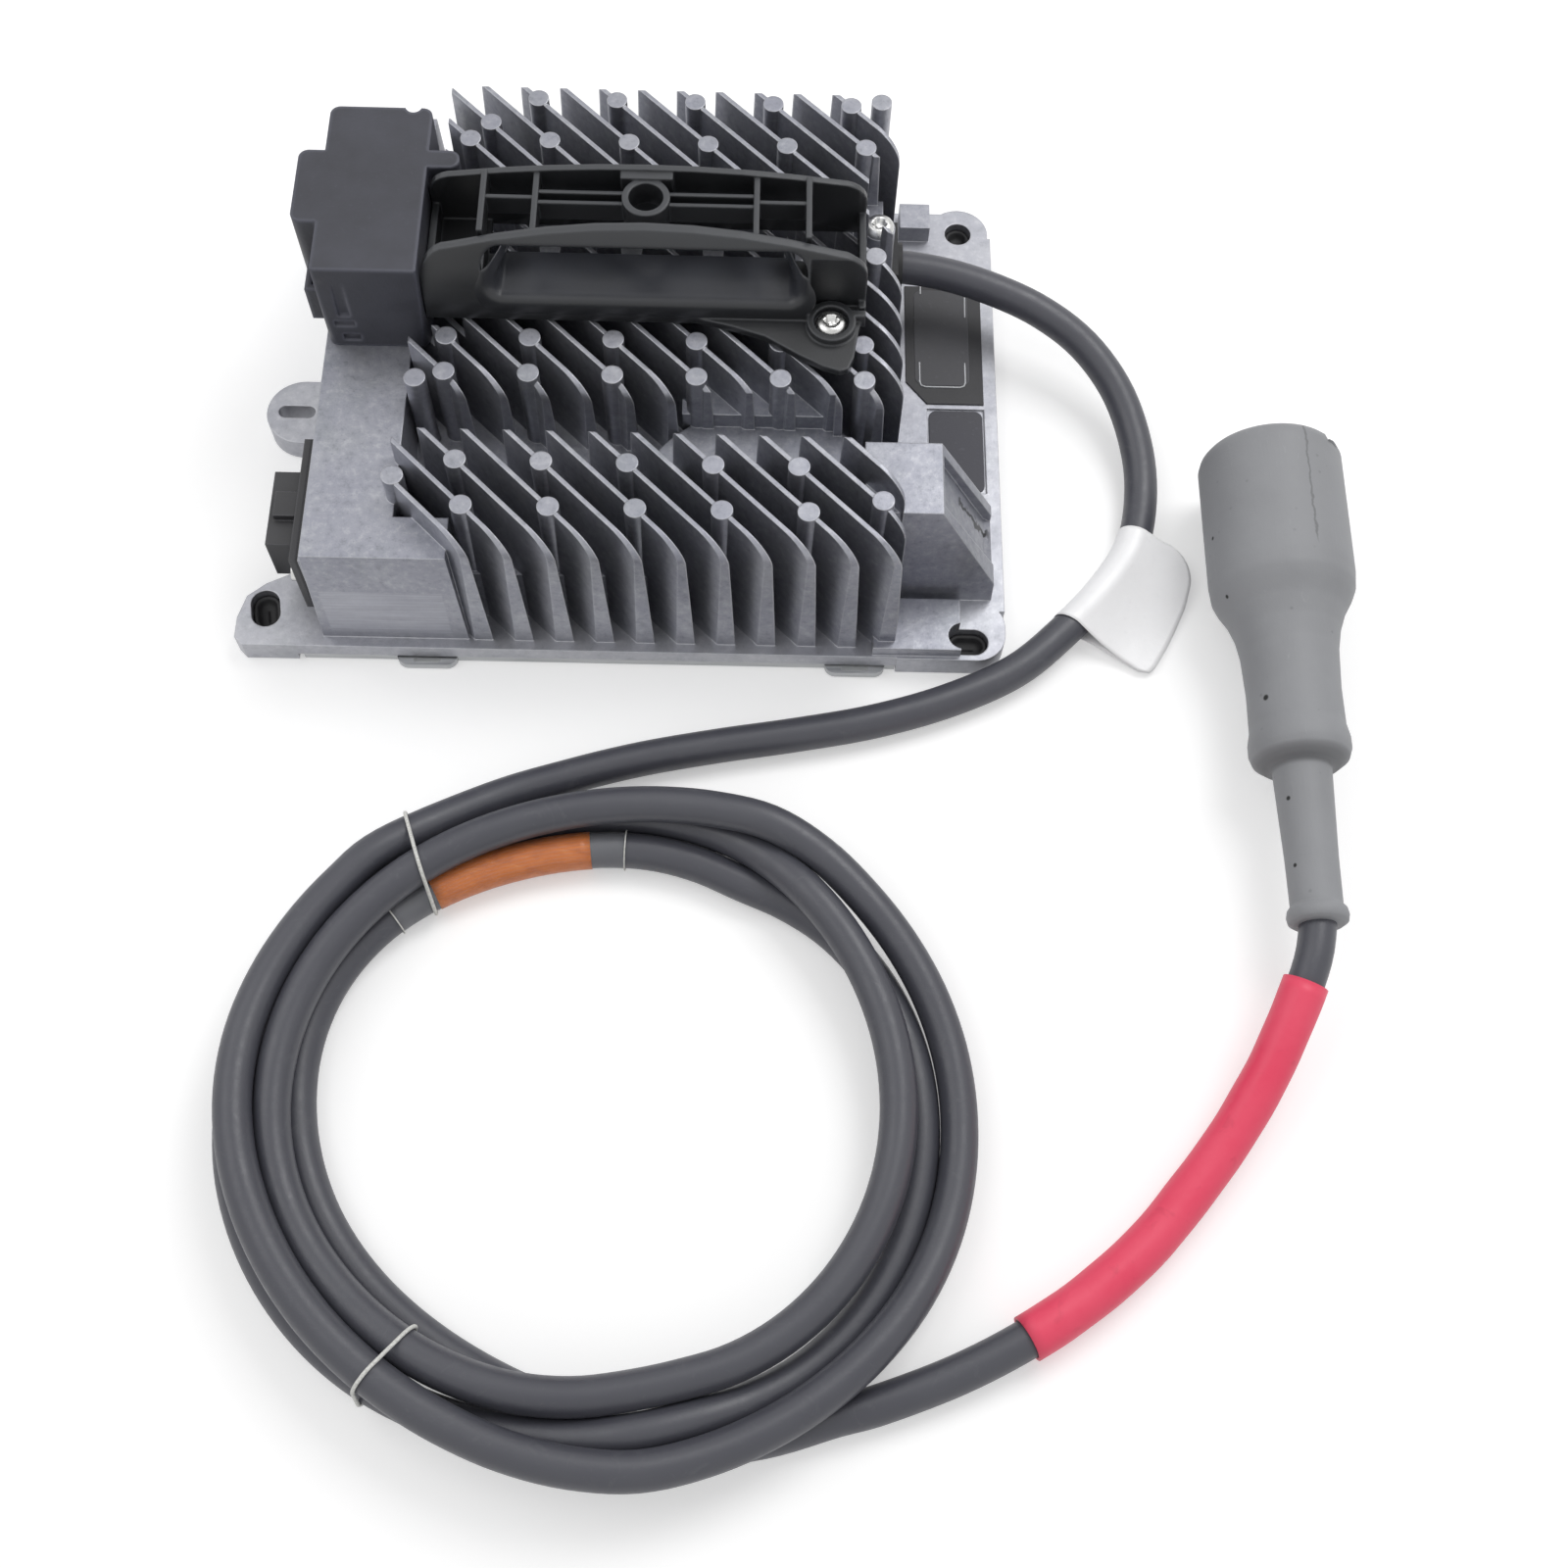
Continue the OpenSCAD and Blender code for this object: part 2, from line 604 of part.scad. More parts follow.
// Feet of the handle and the end walls that stand on them
module handle_feet() {
    intersection() {
        union() {
            for (x = [handle_x0, handle_x1 - handle_wall])
                block([x, front_wall_y + 1, handle_z0], [x + handle_wall, rear_wall_y + 5, handle_z0 + 12]);
            block(
                [handle_x0, front_wall_y + 12, handle_z0],
                [handle_x0 + 20, rear_wall_y + 5, handle_z0 + 3]
            );
        }
        along_x(handle_x0, handle_x1) handle_hollow();
    }
    translate([handle_places()[0][0], handle_places()[0][1], handle_z0]) cylinder(h = 6, d = 17);
    translate([handle_x1, front_wall_y, handle_z0]) linear_extrude(3) polygon([
        [-63, 1], [-47, -3], [-35, -7], [-24, -14], [-15, -19], [-9, -21], [-6, -20], [-4, -15],
        [-3, -7], [-1, 3], [0, 9], [-63, 3]
    ]);
}

// Tray under the finger slot, with ends that rise
module handle_tray() {
    x0 = handle_xc - grip_l / 2;
    x1 = handle_xc + grip_l / 2;
    along_x(x0 - 2, x1 + 2) polygon([
        [front_wall_y + 1, tray_z - handle_wall], [front_wall_y + 22, tray_z - handle_wall - 1],
        [front_wall_y + 22, tray_z - 1], [front_wall_y + 1, tray_z]
    ]);
    for (x = [x0 - 2, x1]) block([x, front_wall_y + 3, tray_z - 2], [x + 2, front_wall_y + 22, tray_z + 8]);
}

module handle_screws() color("gray") {
    for (p = handle_places()) translate([p[0], p[1], handle_z0 + 3]) screw(5, 17, 9.5, 3);
}

module earth_screw() color("gray") translate(earth_place) screw(5, 11, 10, 3.5);

// Outline of the mains cover, drawn in by a wall thickness
module cover_plan(i) {
    cover_field([cover_x0, cover_y0], [cover_x1, cover_y1], i);
    cover_field([cover_x0 - 9, cover_y0 + 20.5], [cover_x0 + 11, cover_y0 + 52], i);
    cover_field([cover_x1 - 9, rear_wall_y + 7], [cover_x1 + 11, rear_wall_y + 14.5], i);
}

// One rectangle of the cover's outline, with round corners
module cover_field(a, b, i) translate((a + b) / 2)
    round_rect(b[0] - a[0] - 2 * i, b[1] - a[1] - 2 * i, max(cover_corner - i, 0.5));

module mains_cover() color("dimgray") difference() {
    union() {
        translate([0, 0, block_h]) linear_extrude(cover_h) cover_plan(0);
        intersection() {
            translate([0, -cover_lean, block_h]) linear_extrude(cover_h)
                cover_field([cover_x0, cover_y0], [cover_x1, cover_y1], 0);
            along_x(cover_x0, cover_x1) polygon([
                [cover_y0 - cover_lean, block_h], [cover_y0 + 20, block_h],
                [cover_y0 + 20, cover_z], [cover_y0, cover_z]
            ]);
        }
        block(
            [cover_x0 - cover_lip[0], cover_y0 + 9, block_h],
            [cover_x0 + 1, cover_y0 + 21, block_h + cover_lip[1]]
        );
    }
    translate([0, 0, block_h - 1]) linear_extrude(cover_h + 1 - cover_wall) cover_plan(cover_wall);
    block(
        [cover_x0 - cover_lip[0] + cover_wall, cover_y0 + 9 + cover_wall, block_h + 3],
        [cover_x0, cover_y0 + 20, cover_z + 1]
    );
    block([cover_x0 + 6, cover_y0 - 3, block_h + 15], [cover_x0 + 10, cover_y0 - 0.4, cover_z + 1]);
    block([cover_x0 + 4, cover_y0 - 3, block_h + 10], [cover_x0 + 11, cover_y0 - 0.4, block_h + 12.5]);
    block([cover_x0 + 6, cover_y0 - 3, block_h + 3], [cover_x0 + 12, cover_y0 - 0.4, block_h + 6]);
    translate([cover_x1 - 7, cover_y1 + 1, block_h + 20]) cylinder(h = cover_h, d = 6);
}

module mains_inlet() color("black") translate([cover_x0 + inlet_at[0], cover_y0 + inlet_at[1], block_h])
    difference() {
        cube(inlet_size);
        block([-1, inlet_wall, inlet_wall + 1], inlet_size - [8, inlet_wall, inlet_wall + 1]);
    }

module mains_pins() color("gold") for (p = [[6, 9], [18, 9], [12, 18]])
    translate([cover_x0 + 8, cover_y0 + inlet_at[1] + p[0] - 2, block_h + p[1]]) cube([14, 4, 2]);

module signal_seal() color("dimgray") along_x(signal_x, signal_x + signal_seal_t) difference() {
    translate([signal_y0 - 2, signal_z - 16]) square([50, 32]);
    translate([signal_y0 + 8, signal_z - 8.5]) square([30, 17]);
    for (y = signal_screw_ys) translate([y, signal_z]) circle(d = 3.4);
}

module signal_connector() color("black") difference() {
    union() {
        block([signal_x - 2.4, signal_y0 - 2, signal_z - 16], [signal_x, signal_y0 + 48, signal_z + 16]);
        block(
            [signal_x - signal_out, signal_y0 + 8, signal_z - 10],
            [signal_x, signal_y0 + 38, signal_z + 10]
        );
        block(
            [signal_x - signal_out + 2, signal_y0 + 18, signal_z + 9],
            [signal_x - 2, signal_y0 + 28, signal_z + 13]
        );
        block([signal_x, signal_y0 + 8.3, signal_z - 8.2], [room_x0 + 1, signal_y0 + 37.7, signal_z + 8.2]);
    }
    block(
        [signal_x - signal_out - 1, signal_y0 + 10, signal_z - 8],
        [signal_x - 3, signal_y0 + 36, signal_z + 8]
    );
    for (y = signal_screw_ys) along_x(signal_x - 3, signal_x + 1) translate([y, signal_z]) circle(d = 3.4);
}

module signal_pins() color("gold") for (y = [0 : 4], z = [-4, 4])
    along_x(signal_x - signal_out + 2, signal_x - 3)
        translate([signal_y0 + 13 + y * 5, signal_z + z]) circle(d = 1.5);

module signal_screws() color("gray") for (y = signal_screw_ys)
    translate([signal_x - 2.4, y, signal_z]) rotate([0, -90, 0]) screw(3, 8, 6.4, 2.4);

module label_plate() color("black") translate([fin_x1 + 6, 9, rim_h]) linear_extrude(0.6)
    polygon([[0, 10], [8, 0], [half_w - fin_x1 - 11, 0], [half_w - fin_x1 - 11, 56], [0, 56]]);

module cable_gland() color("black") difference() {
    union() {
        block([gland_x0, gland_y - 12.5, gland_z - 10.5], [gland_x1 - 2, gland_y + 12.5, gland_z + 10.5]);
        along_x(room_x1 - 7, gland_x1) translate([gland_y, gland_z]) circle(d = 18);
    }
    along_x(room_x1 - 8, gland_x1 + 1) translate([gland_y, gland_z]) circle(d = cable_d + 2 * fit);
}

module gland_nut() color("gray") along_x(room_x1 - 5, room_x1) translate([gland_y, gland_z]) difference() {
    circle(d = 26, $fn = 6);
    circle(d = 18.2);
}

// One turn-shaped solid for the coil: four arcs that make an oval
module coil_oval() translate([coil_mid[0], coil_mid[1], 0]) for (s = [0, 180]) rotate([0, 0, s]) {
    translate([coil_shift, 0, 0]) coil_arc(coil_a - coil_shift, -45);
    translate([0, -coil_shift, 0]) coil_arc(coil_b + coil_shift, 45);
}

// Quarter of the oval with the given outer radius
module coil_arc(r, start) rotate([0, 0, start]) rotate_extrude(angle = 90)
    translate([r - coil_band / 2, coil_h / 2]) round_rect(coil_band, coil_h, coil_edge);

// Outside of the coil's wide arcs: the front one or the rear one
module coil_cut(side) translate([coil_mid[0], coil_mid[1] - side * coil_shift, -1])
    cylinder(h = coil_h + 2, r = coil_b + coil_shift + 0.1, $fn = 180);

// Things drawn round the section of the coil where the two ties stand, with their thickness
module at_ties(t) for (p = [[1, 123], [-1, 240]])
    translate([coil_mid[0], coil_mid[1] - p[0] * coil_shift, 0]) rotate([0, 0, p[1]])
        along_y(-t / 2, t / 2) translate([coil_b + coil_shift - coil_band / 2, coil_h / 2]) children();

module coil_ties() color("white") at_ties(tie_w) difference() {
    round_rect(coil_band, coil_h, coil_edge);
    round_rect(coil_band - 2 * tie_t, coil_h - 2 * tie_t, coil_edge - tie_t);
}

module cable_coil() color("dimgray") difference() {
    coil_oval();
    at_ties(tie_w + 2 * tie_gap) difference() {
        square([coil_band + 4, coil_h + 4], center = true);
        round_rect(coil_band - 2 * tie_t - tie_gap, coil_h - 2 * tie_t - tie_gap, coil_edge - tie_t);
    }
}

module cable_lead() color("dimgray") difference() {
    tube(lead_route, cable_d, [0, len(lead_route) - 1]);
    coil_cut(1);
}

module cable_tail() color("dimgray") difference() {
    tube(tail_route, cable_d, [0, len(tail_route) - 1]);
    coil_cut(-1);
}

module red_sleeve() color("red") difference() {
    tube(tail_route, sleeve_d, sleeve_span);
    tube(tail_route, cable_d + fit, [sleeve_span[0] - 1, sleeve_span[1] + 1]);
}

// Wrap round the cable with a flag that stands out from it
module flag_label() color("white") difference() {
    union() {
        tube(lead_route, label_wrap_d, label_span);
        translate([0, 0, cable_d / 2 - 0.4]) linear_extrude(0.8)
            polygon([[190, -49], [200, -48], [208, -55], [210, -65], [192, -103], [187, -101], [164, -86]]);
    }
    tube(lead_route, cable_d + fit, [label_span[0] - 1, label_span[1] + 1]);
}

// Outline of the plug from its axis, measured from its end bead
module plug_section() {
    r = plug_d / 2;
    polygon([
        [0, 0], [8.6, 0], [10, 1], [10.4, 3], [10, 5], [8.8, 6.5], [9, 24], [10.2, 57],
        [13.5, 58], [16.6, 60.5], [17.6, 63.5], [17.6, 67], [16.6, 72], [16.4, 87], [17.2, 102],
        [18.6, 110], [21, 117], [r - 2, 122.5], [r - 0.6, 126], [r, 132], [r, plug_l - 4],
        [r - 0.8, plug_l - 1.6], [r - 2.2, plug_l], [0, plug_l]
    ]);
}

// Things drawn on the plug's axis, standing on its end bead
module at_plug() translate([plug_x, plug_y0, plug_z]) rotate([-90, 0, 0]) children();

module plug_body() color("darkgray") at_plug() difference() {
    rotate_extrude($fn = 64) plug_section();
    translate([0, 0, plug_l - mouth_step]) cylinder(h = mouth_step + 1, d = plug_bore);
    translate([0, 0, plug_l - plug_mouth - insert_t]) cylinder(h = plug_mouth, d = plug_bore - 5);
    rotate([0, 0, -45]) translate([plug_d / 2 - 3, -3, plug_l - 5]) cube([6, 6, 6]);
}

module plug_insert() color("black") at_plug() translate([0, 0, plug_l - plug_mouth - insert_t]) difference() {
    cylinder(h = insert_t, d = plug_bore - 5 - 2 * fit);
    for (a = [90, 210, 330]) rotate([0, 0, a])
        translate([contact_r, 0, insert_t - 4]) cylinder(h = 5, d = contact_d);
}

module plug_contacts() color("gold") at_plug() for (a = [90, 210, 330]) rotate([0, 0, a])
    translate([contact_r, 0, plug_l - plug_mouth - 4]) cylinder(h = contact_l, d = contact_d);

module circuit_board() color("green") difference() {
    block([room_x0 + 1, room_y0 + 2, board_z], [room_x1 - 1, room_y1 - 2, board_top]);
    for (p = board_places()) translate([p[0], p[1], board_z - 1]) cylinder(h = 4, d = 3.4);
}

module board_screws() color("gray") for (p = board_places())
    translate([p[0], p[1], board_z]) rotate([180, 0, 0]) screw(3, 7, 6, 2);

module transformer_core() color("darkslategray") difference() {
    translate(trafo) cube([46, 40, 22]);
    for (x = [6, 31]) translate(trafo + [x, -1, 5]) cube([9, 42, 12]);
}

module transformer_winding() color("peru") difference() {
    translate(trafo + [6.3, -6, 5.3]) cube([33.4, 52, 11.4]);
    translate(trafo + [15 - fit, -fit, 0]) cube([16 + 2 * fit, 40 + 2 * fit, 22]);
}

module filter_chokes() color("goldenrod") for (y = [-45, 0])
    translate([-52, y, board_top]) rotate_extrude() translate([12, 7]) round_rect(10, 14, 3);

module capacitors() color("navy") for (y = [-30, -6, 18])
    translate([room_x0 + 10.5, y, board_top]) cylinder(h = 38, d = 19);

module power_transistors() color("black") for (x = [-56, -10, 14, 38, 62])
    block([x - 8, room_y0 + fit, board_top], [x + 8, room_y0 + 5, board_top + 20]);

module transistor_clamp() color("silver")
    block([-66, room_y0 + 5, board_top + 9], [72, room_y0 + 8, board_top + 15]);

module relay() color("black") block([-20, room_y1 - 37, board_top], [10, room_y1 - 21, board_top + 16]);

module fuse() color("white") along_x(-66, -36) translate([room_y1 - 27, board_top + 4]) circle(d = 8);

module output_terminals() color("gold") for (y = [gland_y - 14, gland_y + 10])
    translate([room_x1 - 26, y, board_top]) cylinder(h = 12, d = 8);

heatsink_housing();
base_plate();
base_seal();
base_screws();
handle();
handle_screws();
earth_screw();
mains_cover();
mains_inlet();
mains_pins();
signal_connector();
signal_seal();
signal_pins();
signal_screws();
label_plate();
cable_gland();
gland_nut();
cable_lead();
cable_coil();
cable_tail();
red_sleeve();
flag_label();
coil_ties();
plug_body();
plug_insert();
plug_contacts();
circuit_board();
board_screws();
transformer_core();
transformer_winding();
filter_chokes();
capacitors();
power_transistors();
transistor_clamp();
relay();
fuse();
output_terminals();
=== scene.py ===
"""Looks of a golf cart's battery charger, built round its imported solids."""

from math import atan2, copysign, cos, exp, hypot, pi, radians, sin, sqrt, tan

import bmesh
import bpy
from bpy.props import FloatProperty, FloatVectorProperty, PointerProperty
from bpy.types import Operator, Panel, PropertyGroup
from mathutils import Matrix, Vector
from numpy import interp


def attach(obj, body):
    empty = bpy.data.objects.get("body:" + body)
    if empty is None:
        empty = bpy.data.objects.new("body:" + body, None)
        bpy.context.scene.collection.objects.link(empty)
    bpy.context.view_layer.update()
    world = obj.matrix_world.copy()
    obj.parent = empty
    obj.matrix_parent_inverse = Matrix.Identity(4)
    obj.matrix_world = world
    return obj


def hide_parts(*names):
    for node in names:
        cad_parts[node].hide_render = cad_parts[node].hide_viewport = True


bl_info = {
    "name": "Golf cart charger",
    "version": (1, 0, 0),
    "blender": (4, 5, 0),
    "location": "View3D > Sidebar > Charger",
    "description": "Dresses the solids of a finned battery charger and lays its output cable",
    "category": "Object",
}

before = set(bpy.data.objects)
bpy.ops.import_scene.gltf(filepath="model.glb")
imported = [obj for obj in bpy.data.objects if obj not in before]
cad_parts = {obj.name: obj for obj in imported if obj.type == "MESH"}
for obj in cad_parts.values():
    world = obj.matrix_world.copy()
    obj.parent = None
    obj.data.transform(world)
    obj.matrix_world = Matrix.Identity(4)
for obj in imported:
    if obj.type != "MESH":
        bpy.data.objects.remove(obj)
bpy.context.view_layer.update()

MM = 0.001

# Angles of the points that stand round the section of a cord
ROUND = [radians(12 * k) for k in range(30)]


def mm(*numbers):
    """A point given in millimetres, in metres."""
    return Vector(numbers) * MM


# Route of the cable from the charger to the coil, and from the coil to the plug, in mm
LEAD = [
    (80, 57, 32), (100, 57, 32), (118, 54.5, 31.5), (137, 49, 30), (156, 41, 27), (173, 29.5, 22),
    (186, 12.5, 16), (193, -9, 10.5), (194, -30, 7), (189, -52, 6.9), (177, -71, 6.9), (162, -88, 6.9),
    (143.5, -104.5, 6.3), (119, -117, 6.3), (92, -126, 6.3), (64, -132, 6.3), (36, -137, 6.3), (8, -143, 6.3),
    (-18, -151, 7), (-43, -161, 9),
]
TAIL = [
    (92, -361, 6.3), (116, -352, 7), (138, -341, 7.8), (158, -328, 7.8), (177, -312, 7.8), (193, -294, 8.6),
    (207, -276, 11), (219, -257, 15.5), (226, -243, 19.6), (230.3, -233.5, 22.4), (234, -224.5, 24.6),
    (236.3, -217.5, 25.6), (237.7, -211, 26), (238.5, -206, 26),
]

# Oval of the coil: its middle and its half widths to the outside, in metres
COIL_MIDDLE = Vector((-0.001, -0.2705))
COIL_HALF = (0.125, 0.1155)

# Turns of the coil: angle, which starts at 126 degrees and grows by 14, how far the cable's line lies inside
# the oval, and its height, in mm
TURNS = [(126 + 14 * k, *turn) for k, turn in enumerate([
    (1.5, 16), (6, 18), (8.5, 18.5), (11, 19.5), (14, 22.5), (16.5, 24), (17, 24), (16, 24.5), (13.5, 24.5),
    (10.5, 24.5), (6.5, 24.5), (4, 22.5), (3.5, 19.5), (3, 18.5), (4, 16), (5.5, 9), (6.5, 6.5), (6.5, 6.5),
    (6, 8.5), (7.5, 14), (9, 18.5), (8.5, 19), (9.5, 19), (12, 19), (15, 19), (16.5, 19), (16.5, 19),
    (19.5, 18.5), (19, 17), (19, 16), (21.5, 15.5), (23, 15.5), (24.5, 17.5), (24.5, 20), (24, 22), (22.5, 22),
    (22, 21.5), (22, 20), (22.5, 19), (22.5, 19), (24.5, 18.5), (26, 17.5), (27, 17), (27, 17), (25.5, 18),
    (22, 18.5), (19, 17), (12.5, 10), (9, 6.5), (11.5, 6.5), (13.5, 6), (13, 6), (11, 6), (9.5, 6), (8, 6),
    (5.5, 6), (6.5, 6), (9, 6), (9.5, 6.5), (10, 7), (12, 12.5), (12.5, 17), (12, 16.5), (10.5, 12.5), (9.5, 8),
    (9.5, 6.5), (10.5, 6.5), (15, 6.5), (19, 6.5), (18.5, 6.5), (18.5, 6.5), (18.5, 6.5), (17, 6.5),
    (17.5, 7.6), (20, 7.8), (23.5, 7.8), (26, 7.8), (24, 8.1), (19, 8.1), (19.5, 7.8), (22.5, 6.5), (27, 6.5),
    (31, 6.5), (33, 6.5), (33.5, 6.5), (32.5, 6.5), (30, 6.5), (25.5, 6.5), (18, 6.5), (8.5, 6.4), (-0.2, 6.3),
    (-14.5, 6.3),
])]

# What lies on the cable: points near its two ends, in mm
SLEEVE_ENDS = ((138, -341, 7.8), (233.3, -226.2, 23.7))
WRAP_ENDS = ((-59.6, -196, 6.5), (-6.1, -181.3, 6.5))
TUBE_ENDS = ((-70.6, -206.2, 6.5), (6.1, -182.1, 6.5))
FLAG_ENDS = ((190.5, -47, 7), (163.5, -86.5, 6.9))

# The flag: which way its upper and its lower end point, and how far it reaches in mm at shares of the way down
FLAG_DIRECTIONS = ((0.95, -0.3), (0.854, -0.518))
FLAG_REACH = [
    (0, 13.5), (0.02, 16.5), (0.06, 20), (0.12, 23), (0.2, 25.5), (0.4, 28.5), (0.7, 31.5), (0.93, 33.6),
    (0.97, 33.2), (0.99, 32), (1, 30),
]

# Ties round the coil: the inner and the outer end of each, in mm
TIES = [((-58.5, -203), (-71, -168.5)), ((-51.5, -342.3), (-68, -363.4))]

# Holes in the feet, in mm: middle, how far the slot runs, and its turn in degrees
FOOT_HOLES = [((127, 92), 0, 0), ((126, -95), 4.5, 0), ((-130, -87), 4.5, 100)]

# Dark chips in the plug's rubber, in mm, with their reach
PLUG_CHIPS = [
    (213.3, -62.4, 32.2, 0.9), (216.3, -86.8, 32.8, 0.9), (225.5, -128.4, 36.1, 1.3), (230.9, -164.5, 32, 1),
    (231.1, -188.6, 31, 0.9),
]

# Undersides of the screw heads, in mm, with the screw's length
HANDLE_SCREWS = [(73, -8, 79, 17), (-56.5, 20, 79, 17)]
EARTH_SCREW = [(92, 56, 55, 11)]

# Bow of the handle's front wall, in mm: the middle of its arc (y, z) and its radius
BOW_Y, BOW_Z, BOW_RADIUS = 42.6, 78, 48.6

# Hollow for the fingers in the handle's front wall, in mm: how its skin runs to its back, as distances outside
# the opening's rim and behind the wall's face, and where it ends
HOLLOW_PROFILE = [
    (6.5, 0.12), (4.8, -0.15), (3.0, -0.3), (1.6, -0.33), (0.5, -0.2), (-0.5, 0.25), (-1.1, 1.2), (-1.4, 3),
    (-1.4, 6), (-1.3, 12), (-0.9, 20),
]
SCOOP_BACK = 15.6

# More of the hollow, in mm: the height where its lip has run out and how far below that it starts to, the depth
# from which the skin is stretched to the back, and how much and down to what depth its sides draw in
LIP_END, LIP_RUN_OUT = 96.5, 12
LIP_DEPTH = 3
DRAW_IN, DRAW_IN_DEPTH = 6.5, 16

# Rim of the opening from its upper left over its lower edge to its upper right, in mm and degrees:
# (x, z, way out)
HOLLOW_RIM = [
    (x + 7 * cos(radians(turn)), z + 7 * sin(radians(turn)), turn)
    for x, z, turns in (
        (-40.75, 97, (180,)), (-40.75, 92, range(180, 271, 10)), (-30, 92, (270,)), (-10, 92, (270,)),
        (10, 92, (270,)), (30, 92, (270,)), (47, 92, (270,)), (57.25, 92, range(270, 361, 10)),
        (57.25, 97, (360,)),
    ) for turn in turns
]

# Places on the casting: from, to and how soft along each axis, in metres. They are the field of fins, where
# shade is painted deep between them, the brushed rectangle on the front, and the narrow scar in the ramp's recess
# with its place in Y.
FIN_FIELD = {"X": (-0.074, 0.1, 0.003), "Y": (-0.091, 0.103, 0.003)}
BRUSHED_FACE = {"X": (-0.104, -0.061, 0.0003), "Z": (0.0135, 0.0405, 0.0003)}
SCAR_Y, SCAR = -0.0535, {"X": (0.119, 0.14, 0.0003), "Z": (0.0165, 0.0395, 0.0008)}

# Places on the plug, in the same way: painted shade in the groove behind its bead, and the long score with its
# place in X
BEAD_SHADE = {"Y": (-0.1515, -0.1478, 0.0012)}
SCORE_X, SCORE = 0.2451, {"Y": (-0.073, -0.022, 0.002), "Z": (0.04, 0.06, 0.001)}

# Soft lamps: name, place in metres, size in metres, and share of the main lamp's power
LAMPS = [("key_lamp", (0.6, 0.45, 1.2), 0.7, 1.1), ("fill_lamp", (-0.8, 0.05, 1.25), 0.9, 0.55)]
LAMPS_AIM = (0.02, -0.12, 0.02)

# Thin lines of the frame on the black panel, in mm
FRAME_LINES = [
    [
        (110.4, 28), (110.4, 18.9), (110.9, 17.3), (112.5, 16.6), (126, 16.6), (127.6, 17.3), (128.1, 18.9),
        (128.1, 28),
    ],
    [(111.3, 66), (111.3, 61)],
    [(122.7, 66), (127, 66), (128.4, 65.4), (128.9, 64), (128.7, 50)],
]


def knot_value(knots, at):
    """Smooth values of the knots at an angle."""
    last = len(knots) - 1
    i = max(k for k in range(last) if knots[k][0] <= at)
    a, b = knots[i], knots[i + 1]
    before, after = knots[max(i - 1, 0)], knots[min(i + 2, last)]
    gap = b[0] - a[0]
    t = (at - a[0]) / gap
    values = []
    for n in (1, 2):
        m0 = (b[n] - before[n]) / (b[0] - before[0]) * gap
        m1 = (after[n] - a[n]) / (after[0] - a[0]) * gap
        values.append(
            (2 * t**3 - 3 * t**2 + 1) * a[n] + (t**3 - 2 * t**2 + t) * m0
            + (3 * t**2 - 2 * t**3) * b[n] + (t**3 - t**2) * m1
        )
    return values


def coil_points(width):
    """Points of the coil's turns, eased apart where two of them would lie in each other."""
    step, rounds = 10, 240
    angles = list(range(130, 1391, step))
    wanted = [[v * MM for v in knot_value(TURNS, a)] for a in angles]
    turns = [list(w) for w in wanted]
    around = 360 // step
    low, high = width / 2 + 0.0001, 2 * width
    for ease in range(rounds, 0, -1):
        for i in range(len(turns)):
            for j in range(i + around, len(turns), around):
                a, b = turns[i], turns[j]
                dx, dz = a[0] - b[0], a[1] - b[1]
                apart = hypot(dx, dz)
                if apart < width:
                    push = 0.5 * (width - apart) / max(apart, 1e-6)
                    for n, gap in enumerate((dx, dz)):
                        a[n] += gap * push
                        b[n] -= gap * push
        for i in range(len(turns)):
            for n in (0, 1):
                if 0 < i < len(turns) - 1:
                    middle = (turns[i - 1][n] + turns[i + 1][n]) / 2
                    turns[i][n] += (0.03 + ease / (10 * rounds)) * (middle - turns[i][n])
                turns[i][n] += ease / (20 * rounds) * (wanted[i][n] - turns[i][n])
            turns[i][1] = min(max(turns[i][1], low), high)
    points = []
    for degrees, (inset, height) in zip(angles, turns):
        a = radians(degrees)
        r = 1 / hypot(cos(a) / COIL_HALF[0], sin(a) / COIL_HALF[1]) - inset
        points.append((COIL_MIDDLE.x + r * cos(a), COIL_MIDDLE.y + r * sin(a), height))
    return points


def strands(line, inner, outer):
    """Where the coil's strands cross the upright plane through two points given in mm."""
    start, end = mm(*inner, 0), mm(*outer, 0)
    out = (end - start).normalized()
    along = Vector((-out.y, out.x, 0))
    places = []
    for p, q in zip(line, line[1:]):
        before, after = (p - start).dot(along), (q - start).dot(along)
        if before <= 0 < after:
            spot = p.lerp(q, before / (before - after)) - start
            if 0.003 < spot.dot(out) < (end - start).length + 0.004:
                places.append((spot.dot(out), spot.z))
    return places, start, out


def taut(points):
    """The points of a taut string round the given flat points."""
    points = sorted(set(points))
    loop = []
    for way in (points, points[::-1]):
        side = []
        for p in way:
            while len(side) > 1 and (
                (side[-1][0] - side[-2][0]) * (p[1] - side[-2][1])
                <= (side[-1][1] - side[-2][1]) * (p[0] - side[-2][0])
            ):
                side.pop()
            side.append(p)
        loop += side[:-1]
    return loop


def smooth_line(points, step):
    """Points an even step apart on a smooth line through the given ones."""
    points = [Vector(p) for p in points]
    fine = []
    for i in range(len(points) - 1):
        p0, p1 = points[max(i - 1, 0)], points[i]
        p2, p3 = points[i + 1], points[min(i + 2, len(points) - 1)]
        for k in range(12):
            t = k / 12
            fine.append(0.5 * (
                2 * p1 + (p2 - p0) * t + (2 * p0 - 5 * p1 + 4 * p2 - p3) * t * t
                + (3 * p1 - p0 - 3 * p2 + p3) * t**3
            ))
    fine.append(points[-1])
    line, left = [fine[0]], step
    for a, b in zip(fine, fine[1:]):
        length = (b - a).length
        while left <= length:
            line.append(a.lerp(b, left / length))
            left += step
        left -= length
    line.append(fine[-1])
    return line


